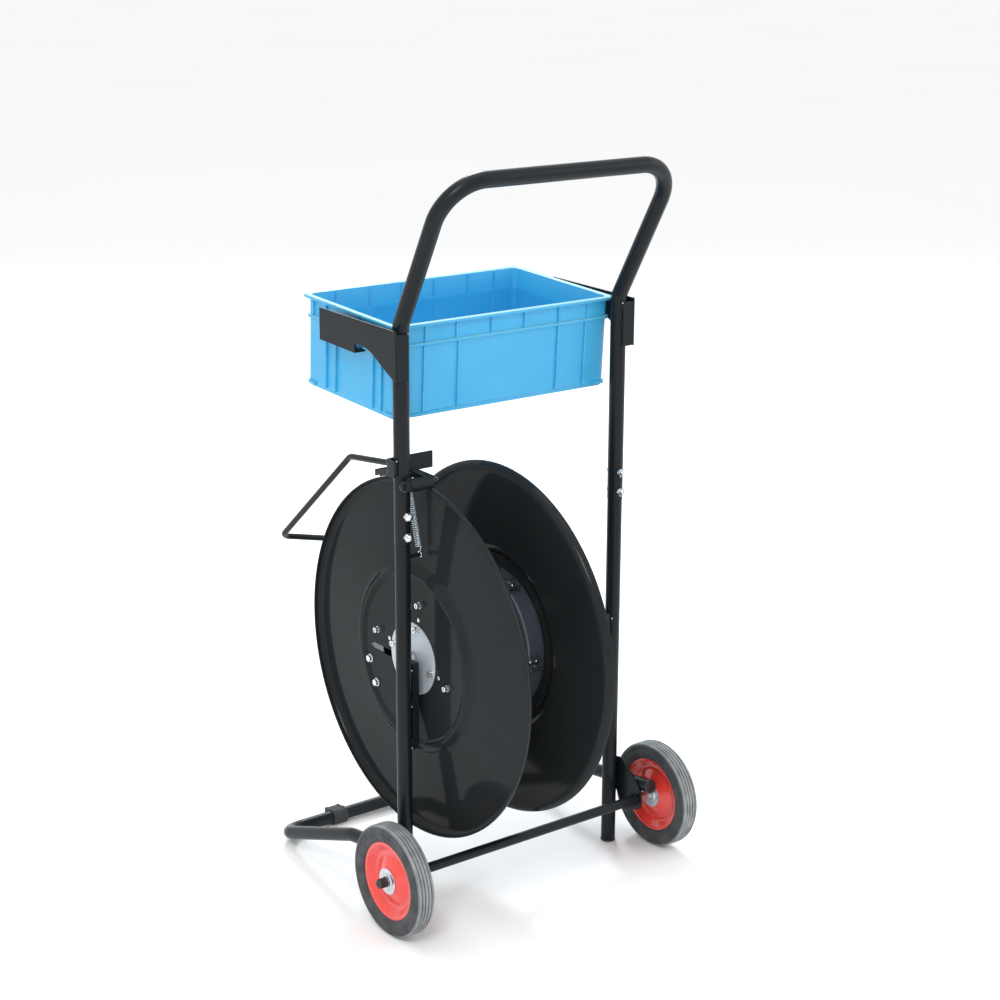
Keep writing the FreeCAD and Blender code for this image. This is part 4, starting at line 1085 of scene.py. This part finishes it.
def brake_lever():
    pivot_deep, pivot_up = (PIVOT.y - POST_Y) / MM, PIVOT.z / MM
    inset = -160
    corners = [at(-227, pivot_deep, pivot_up), at(inset, pivot_deep, pivot_up), at(inset, 78, pivot_up + 3),
               at(inset, 215, 688), at(inset - 3, 424, 505), at(-25, 420, 474)]
    path = rounded(corners, [0, 9 * MM, 200 * MM, 22 * MM, 16 * MM, 0], steps=16)
    bm = bmesh.new()
    sweep(bm, path, section_of(ROD_RAD, 32))
    for end, inner in ((path[0], path[1]), (path[-1], path[-2])):
        lathe(bm, [(0, 4.9 * MM), (0.5 * MM, 4.2 * MM), (0.9 * MM, 2.4 * MM), (1.0 * MM, 0)], end,
              (end - inner).normalized(), steps=32, closed=False)
    piece_from(bm, "bent_lever_rod", POWDER, "brake_lever", ["lever_rod"])
    bm = bmesh.new()
    seat = Vector((high("pivot_nut").x, PIVOT.y, PIVOT.z))
    washer(bm, seat, -X, 9 * MM, ROD_RAD + 0.05 * MM, 1.6 * MM)
    hexagon(bm, seat - X * 1.6 * MM, -X, 16 * MM, 7.3 * MM, bore=ROD_RAD + 0.05 * MM, both=True)
    piece_from(bm, "pivot_lock_nut", POWDER, "brake_lever", ["pivot_nut"])


def brake_shoe():
    """The block welded to the lever, curved to the disc, and the lining bonded under it."""
    pivot_up = PIVOT.z / MM
    left, right = low("brake_shoe").x / MM, high("brake_shoe").x / MM
    near, far = (low("brake_shoe").y - POST_Y) / MM, (high("brake_shoe").y - POST_Y) / MM
    reel_deep, reel_up = (REEL.y - POST_Y) / MM, REEL.z / MM
    lining = 3
    lining_out = DISC_RAD / MM + 0.45 + lining
    under = []
    for step in range(25):
        deep = near + (far - near) * step / 24
        under.append((deep, reel_up + math.sqrt((lining_out + 0.02) ** 2 - (deep - reel_deep) ** 2)))
    top = [(far, pivot_up - 8.2), (far - 1.5, pivot_up - 6.9), (78, pivot_up - 2.75),
           (near + 1.5, pivot_up - 3.9),
           (near, pivot_up - 5.2)]
    bm = bmesh.new()
    slab(bm, under + top, right - left, lambda a, b, c: at(left + c, a, b))
    piece_from(bm, "brake_shoe_block", POWDER, "brake_lever", ["brake_shoe"], bevel=0.4 * MM)
    left = low("brake_lining").x / MM
    inner = [(reel_deep + (deep - reel_deep) * (1 - lining / lining_out),
              reel_up + (up - reel_up) * (1 - lining / lining_out))
             for deep, up in under]
    bm = bmesh.new()
    slab(bm, under + inner[::-1], right - left, lambda a, b, c: at(left + c, a, b))
    piece_from(bm, "rubber_brake_lining", RUBBER, "brake_lever", ["brake_lining"],
               bevel=0.3 * MM)


def brake_spring():
    """Closed coil extension spring whose loop is on the stud and whose hook goes through the shoe."""
    wire, coil_rad, turns = 0.75 * MM, 4.3 * MM, 26
    stud, eye = at(-178, 0, 583), at(-178, 30, 698)
    axis = (eye - stud).normalized()
    bottom, top = stud + axis * 11 * MM, eye - axis * 24 * MM
    first = (X - axis * X.dot(axis)).normalized()
    second = axis.cross(first)
    loop = [math.radians(turn) for turn in range(60, 380, 20)]
    path = [stud + Y * coil_rad * math.sin(turn) - axis * coil_rad * math.cos(turn) for turn in loop]
    steps = 20 * turns
    path += [stud + axis * coil_rad * 1.4 + first * coil_rad * 0.4]
    for step in range(steps + 1):
        share = step / steps
        turn = math.tau * turns * share
        sideways = first * math.cos(turn) + second * math.sin(turn)
        path.append(bottom + (top - bottom) * share + sideways * coil_rad)
    outside = -X * 7.5 * MM
    over = eye + Z * 4.5 * MM
    hook = rounded([top + axis * 3 * MM, eye - Z * 3 * MM, over, over + outside, eye + outside - Z * 4 * MM],
                   [0, 4 * MM, 3.4 * MM, 3.4 * MM, 0], 8)
    bm = bmesh.new()
    sweep(bm, path + hook, section_of(wire, 10))
    spring = piece_from(bm, "coiled_brake_spring", WIRE, None, ["brake_spring"])
    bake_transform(spring)


# ---------------------------------------------------------------- crate and brackets
RIM = at(3, 13.4, 933.8)
TILT = Matrix.Rotation(math.atan(0.056), 3, "X")
RIM_HALF, RIM_DEEP = 213.5, 258
RIB = 2.8


def in_crate(across, deep, up):
    """A place in the crate's own directions, in millimetres from the middle of the rim's near edge."""
    return RIM + TILT @ (Vector((across, deep, up)) * MM)


def crate_loop(inset, corner, up, steps=6):
    """A rounded rectangle, inset from the rim's outer edge."""
    half, near, far = RIM_HALF - inset, inset, RIM_DEEP - inset
    corners = [(-half, near), (half, near), (half, far), (-half, far)]
    return [in_crate(a, b, up) for a, b in rounded(corners, corner, steps, closed=True)]


def crate_shell(bm):
    """Walls, rolled rim, band and floor as one lofted skin, from the underside to the inside."""
    levels = [(11, 8, -146), (10.4, 8.5, -145.2), (10.2, 8.5, -140.4), (9.8, 8.5, -139.6), (9.2, 9, -139),
              (8.9, 9.5, -136), (8.4, 10.5, -36.6), (8.2, 10.5, -36.1), (5.6, 12, -35.8), (5.1, 12, -35.2),
              (5.0, 12, -31.8), (5.5, 12, -31.2), (8.1, 10.5, -30.9), (8.3, 10.5, -30.4), (8.1, 10.5, -6.4),
              (7.6, 10.5, -5.4), (1.2, 13, -5.0), (0.25, 13.5, -4.2), (0, 13.8, -2.2), (0.3, 13.6, -0.8),
              (1.2, 13, 0), (9.2, 9.5, 0), (10.2, 9, -0.4), (10.6, 9, -1.4), (10.8, 9, -31), (11.0, 8.8, -32),
              (11.2, 8.8, -36), (11.1, 8.8, -37), (11.6, 8, -137), (12.4, 7.6, -140.6), (14.6, 7, -142.6),
              (17.5, 6, -143)]
    rings = [[bm.verts.new(point) for point in crate_loop(*level)] for level in levels]
    for ring, following in zip(rings, rings[1:]):
        bridge(bm, ring, following)
    bm.faces.new(rings[0])
    bm.faces.new(rings[-1])


def crate_block(bm, low_corner, high_corner, taper=0.35):
    """A small moulded block with a little draft, given by two corners in the crate's directions."""
    (x0, y0, z0), (x1, y1, z1) = low_corner, high_corner
    verts = []
    for up, inset in ((z0, taper), (z1, 0)):
        for a, b in ((x0 + inset, y0), (x1 - inset, y0), (x1 - inset, y1), (x0 + inset, y1)):
            verts.append(bm.verts.new(in_crate(a, b, up)))
    bridge(bm, verts[:4], verts[4:])
    bm.faces.new(verts[:4])
    bm.faces.new(verts[4:])


def crate_ribs(bm):
    """Upright ribs between rim and band, and between band and floor, on all four walls."""
    upper, lower = (-30.8, -5.3), (-139, -36)
    long_upper, long_lower = (-153, -95, -29, 35, 103, 161), (-154, -90, 103, 158)
    short_upper, short_lower = (24, 106, 195, 232), (42.6, 64.6, 166.6, 193.6)
    proud, deeper = 5.4, 10.4
    for places, (z0, z1) in ((long_upper, upper), (long_lower, lower)):
        for place in places:
            left, right = place - RIB / 2, place + RIB / 2
            crate_block(bm, (left, proud, z0), (right, deeper, z1))
            crate_block(bm, (left, RIM_DEEP - deeper, z0), (right, RIM_DEEP - proud, z1))
    for places, (z0, z1) in ((short_upper, upper), (short_lower, lower)):
        for place in places:
            near, far = place - RIB / 2, place + RIB / 2
            for inner, outer in ((-RIM_HALF + proud, -RIM_HALF + deeper),
                                 (RIM_HALF - deeper, RIM_HALF - proud)):
                crate_block(bm, (inner, near, z0), (outer, far, z1), 0)
    inside = 12.9
    for place in long_lower + (-29, 35):
        for z0, z1 in ((-31, -2), (-136, -37)):
            wide = 1.6
            crate_block(bm, (place - wide, inside - 2.2, z0), (place + wide, inside - 0.9, z1), 0)
            crate_block(bm, (place - wide, RIM_DEEP - inside + 0.9, z0),
                        (place + wide, RIM_DEEP - inside + 2.2, z1), 0)


def crate_corners(bm):
    """L-shaped lips round the bottom corners, which lock into the rim of a crate below."""
    reach, inset = 26, 6.6
    half, far = RIM_HALF - inset, RIM_DEEP - inset
    for x_sign in (-1, 1):
        for deep, turn in ((inset, 1), (far, -1)):
            outline = [(half, 0), (half, reach), (half - 5, reach), (half - 5, 5), (half - reach, 5),
                       (half - reach, 0)]
            outline = rounded(outline, [10, 1, 0, 5, 0, 1], 6, closed=True)
            slab(bm, [(x_sign * a, deep + turn * b) for a, b in outline], 5.2,
                 lambda a, b, c: in_crate(a, b, -142.4 + c))


def crate_base(bm):
    """Grid of stiffening ribs under the floor, inside the recessed foot."""
    inset, deep_rib = 15, 2.4
    half, near, far = RIM_HALF - inset, inset, RIM_DEEP - inset
    for number in range(1, 8):
        place = -half + 2 * half * number / 8
        crate_block(bm, (place - 1, near, -146), (place + 1, far, -146 + deep_rib), 0)
    for number in range(1, 5):
        place = near + (far - near) * number / 5
        crate_block(bm, (-half, place - 1, -146), (half, place + 1, -146 + deep_rib), 0)


def label_frames(bm):
    """A plain raised frame for a label on each long wall."""
    corners = [(-84, -54), (84, -54), (84, -114), (-84, -114)]
    line = rounded(corners, 7, 6, closed=True)
    for deep in (9.0, RIM_DEEP - 9.0):
        rings = []
        for a, b in line:
            centre = Vector((a, b, 0))
            outward = Vector((a, b + 84, 0)).normalized()
            ring = []
            for turn in range(8):
                angle = math.tau * turn / 8
                point = centre + outward * 1.1 * math.cos(angle)
                draft = (-b - 36) / 92 * 1.2 * (1 if deep < 100 else -1)
                ring.append(bm.verts.new(in_crate(point.x, deep + draft + 0.8 * math.sin(angle), point.y)))
            rings.append(ring)
        for ring, following in zip(rings, rings[1:] + rings[:1]):
            bridge(bm, ring, following)


def crate():
    bm = bmesh.new()
    crate_shell(bm)
    crate_ribs(bm)
    crate_corners(bm)
    crate_base(bm)
    label_frames(bm)
    for x0, x1 in ((-223.3, -204.6), (204.6, 223.3)):
        crate_block(bm, (x0, 84, -49.4), (x1, 168, -45.6), 0)
    piece = piece_from(bm, "stacking_crate", CRATE, "crate", ["tool_crate"], bevel=0.35 * MM,
                       sharp=math.radians(28))
    piece.data.materials.append(CRATE_WORN_AND_LIT)
    # Upward faces of the rim and of the band's ledge take the paler plastic: partly scuffing, partly a
    # painted highlight of the light from above.
    back = TILT.inverted()
    for face in piece.data.polygons:
        up = (back @ (face.center - RIM)).z / MM
        upward = (back @ face.normal).z
        if up > -1.2 and upward > 0.5 or -36 < up < -30.6 and upward > 0.6:
            face.material_index = 1


def brackets():
    """Sheet brackets: a side plate with a swept gusset, a folded shelf and a folded tab behind the tube."""
    def hung(deep, drop):
        return (13.4 + deep, 933.8 + deep * 0.056 - drop)
    corners = [hung(-29, -2.6), hung(174, 3.6), hung(174, 53), hung(78, 53), hung(78, 38), hung(60, 37.3),
               hung(36, 41), hung(6, 57.5), hung(-20, 70), hung(-29, 74)]
    outline = rounded(corners, [0, 1, 1, 0.8, 0.8, 30, 60, 90, 14, 0], 8, closed=True)
    inner, outer, shelf_in, tab_wide = 227.5, 230.5, 210.5, 20.5
    for side, sign in SIDES:
        bm = bmesh.new()
        side_plate(bm, outline, inner, outer - inner, sign)
        shelf = [hung(78.4, 50), hung(174, 50), hung(174, 52.9), hung(78.4, 52.9)]
        side_plate(bm, shelf, shelf_in, inner - shelf_in, sign)
        tab = [hung(-29, 3), hung(-26, 3), hung(-26, 72), hung(-29, 73.4)]
        side_plate(bm, tab, inner - tab_wide, tab_wide, sign)
        painted(bm, f"{side}_folded_bracket", [f"{side}_tray_bracket"],
                   bevel=0.4 * MM)


# ---------------------------------------------------------------- welds
def welds():
    """Short beads at every seam of the frame, under the paint, and a few spots where the paint has missed."""
    bm, bare = bmesh.new(), bmesh.new()
    for sign in (-1, 1):
        near_post = sign * (POST_MM - 8.5)
        for up, end in ((928, 912), (900, 886), (868, 858)):
            weld(bm, [at(sign * (POST_MM - 3.5), -12.4, up), at(sign * (POST_MM - 3.5), -12.4, end)],
                 1.7 * MM)
        for up, end in ((405, 392), (352, 338), (290, 274)):
            for deep in (-7.6, 8.6):
                weld(bm, [at(sign * (POST_MM - 8.8), deep, up), at(sign * (POST_MM - 8.8), deep, end)],
                     1.9 * MM)
        weld(bm, [at(sign * 222.5, -1.2, 149), at(sign * 222.5, -1.2, 99)], 2.0 * MM)
        weld(bm, [at(sign * 226.2, -64, 107.5), at(sign * 226.2, -12, 101.5)], 1.9 * MM)
        seam = Vector((sign * 220.4 * MM, AXLE.y, AXLE.z))
        weld(bm, circle_path(seam, Y, Z, 8.6 * MM), 1.5 * MM)
        for up in (404, 345, 276):
            weld(bare, [at(near_post, -8.9, up), at(near_post, -8.9, up - 3.5)], 1.3 * MM)
        weld(bare, [at(sign * (POST_MM - 3.2), -13.8, 930), at(sign * (POST_MM - 3.2), -13.8, 926)], 1.2 * MM)
        weld(bare, [at(sign * 223.4, -2.4, 150), at(sign * 223.4, -3.6, 146.5)], 1.4 * MM)
    sleeve_up = PIVOT.z / MM
    for up in (sleeve_up + 8.2, sleeve_up - 8.2):
        weld(bm, [at(-212, -14.6, up), at(-199, -14.6, up)], 2.0 * MM)
    weld(bare, [at(-203, -15.8, sleeve_up + 9.2), at(-199.5, -15.8, sleeve_up + 9.2)], 1.4 * MM)
    weld(bm, [at(-224.6, -5.5, 737), at(-224.6, -5.5, 713)], 2.2 * MM)
    weld(bm, [at(-203, 12.4, 737), at(-203, 12.4, 714)], 1.9 * MM)
    weld(bare, [at(-225.2, -7, 737.4), at(-222.6, -7.6, 737.4)], 1.3 * MM)
    weld(bm, circle_path(at(-199.5, 0, 583), Y, Z, 3.4 * MM), 1.1 * MM)
    piece_from(bm, "frame_weld_beads", POWDER, "frame")
    piece_from(bare, "bare_weld_spots", BARE, "frame")


# ---------------------------------------------------------------- what stays from the frame
def finish_nodes():
    """Every CAD node gets the material of its slot; the ones that still show get fine bevels."""
    for name, node in nodes.items():
        look = BY_SLOT[SLOT_OF[name]]
        node.data.materials.clear()
        node.data.materials.append(look)
        if not node.hide_render:
            merge = node.modifiers.new("merge", "WELD")
            merge.merge_threshold = 1e-6
            fine_edges(node, 0.25 * MM, 2)


# ---------------------------------------------------------------- studio
def studio():
    floor_half = 60
    bm = bmesh.new()
    corners = [(-floor_half, -floor_half), (floor_half, -floor_half), (floor_half, floor_half),
               (-floor_half, floor_half)]
    bm.faces.new([bm.verts.new((a, b, -0.0005)) for a, b in corners])
    mesh = mesh_from(bm, "studio_floor")
    look = material("studio_floor", (0.93, 0.935, 0.94), 0.9)
    shade = ramp(look, noise(look, 0.6, 2), ((0.3, (0.925, 0.93, 0.935)), (0.7, (0.94, 0.943, 0.946))))
    link(look, shade, shader_of(look).inputs["Base Color"])
    mesh.materials.append(look)
    floor = in_scene("studio_floor", mesh)

    world = bpy.data.worlds.new("soft_room")
    world.use_nodes = True
    background = world.node_tree.nodes["Background"]
    background.inputs["Color"].default_value = (1.0, 1.0, 1.0, 1)
    background.inputs["Strength"].default_value = 1.0
    bpy.context.scene.world = world

    target = Vector((0, 0, 0.55))
    lamps = (("key", (-2.6, -2.4, 3.6), 1.4, 70, (1.0, 0.99, 0.975)),
             ("fill", (3.2, -2.2, 2.2), 2.4, 22, (0.93, 0.96, 1.0)),
             ("back", (1.8, 3.0, 3.4), 1.0, 90, (0.86, 0.95, 1.0)),
             ("top", (0.0, 0.0, 4.6), 3.0, 30, (1.0, 1.0, 1.0)))
    for name, place, size, power, colour in lamps:
        data = bpy.data.lights.new(name, "AREA")
        data.shape = "SQUARE"
        data.size = size
        data.energy = power
        data.color = colour
        lamp = in_scene(name, data)
        lamp.location = place
        lamp.rotation_euler = (target - Vector(place)).to_track_quat("-Z", "Y").to_euler()
    view = bpy.context.scene.view_settings
    view.view_transform = "Standard"
    view.look = "None"


def camera():
    data = bpy.data.cameras.new("camera")
    data.lens = 74.45
    data.sensor_width = 36
    data.clip_end = 200
    eye = in_scene("camera", data)
    azimuth, elevation, roll = math.radians(-37.557), math.radians(16.083), math.radians(0.23)
    back = Vector((math.sin(azimuth) * math.cos(elevation), -math.cos(azimuth) * math.cos(elevation),
                   math.sin(elevation)))
    right = (-back).cross(Z).normalized()
    up = right.cross(-back)
    tilted = right * math.cos(roll) + up * math.sin(roll)
    upright = up * math.cos(roll) - right * math.sin(roll)
    place = Vector((-1.9069, POST_Y - 2.4474, 1.5323))
    turn = Matrix((tilted, upright, back)).transposed().to_4x4()
    eye.matrix_world = Matrix.Translation(place) @ turn
    bpy.context.scene.camera = eye


for build in (handle, lower_posts, foot_caps, joint_fasteners, base, foot_pads, axle_plates, axle, wheels,
              discs, hub, drum, strap_clips, strap_anchor, shaft, saddles, pivot_and_stop, brake_lever,
              brake_shoe, brake_spring, crate, brackets, welds, finish_nodes, studio, camera):
    build()
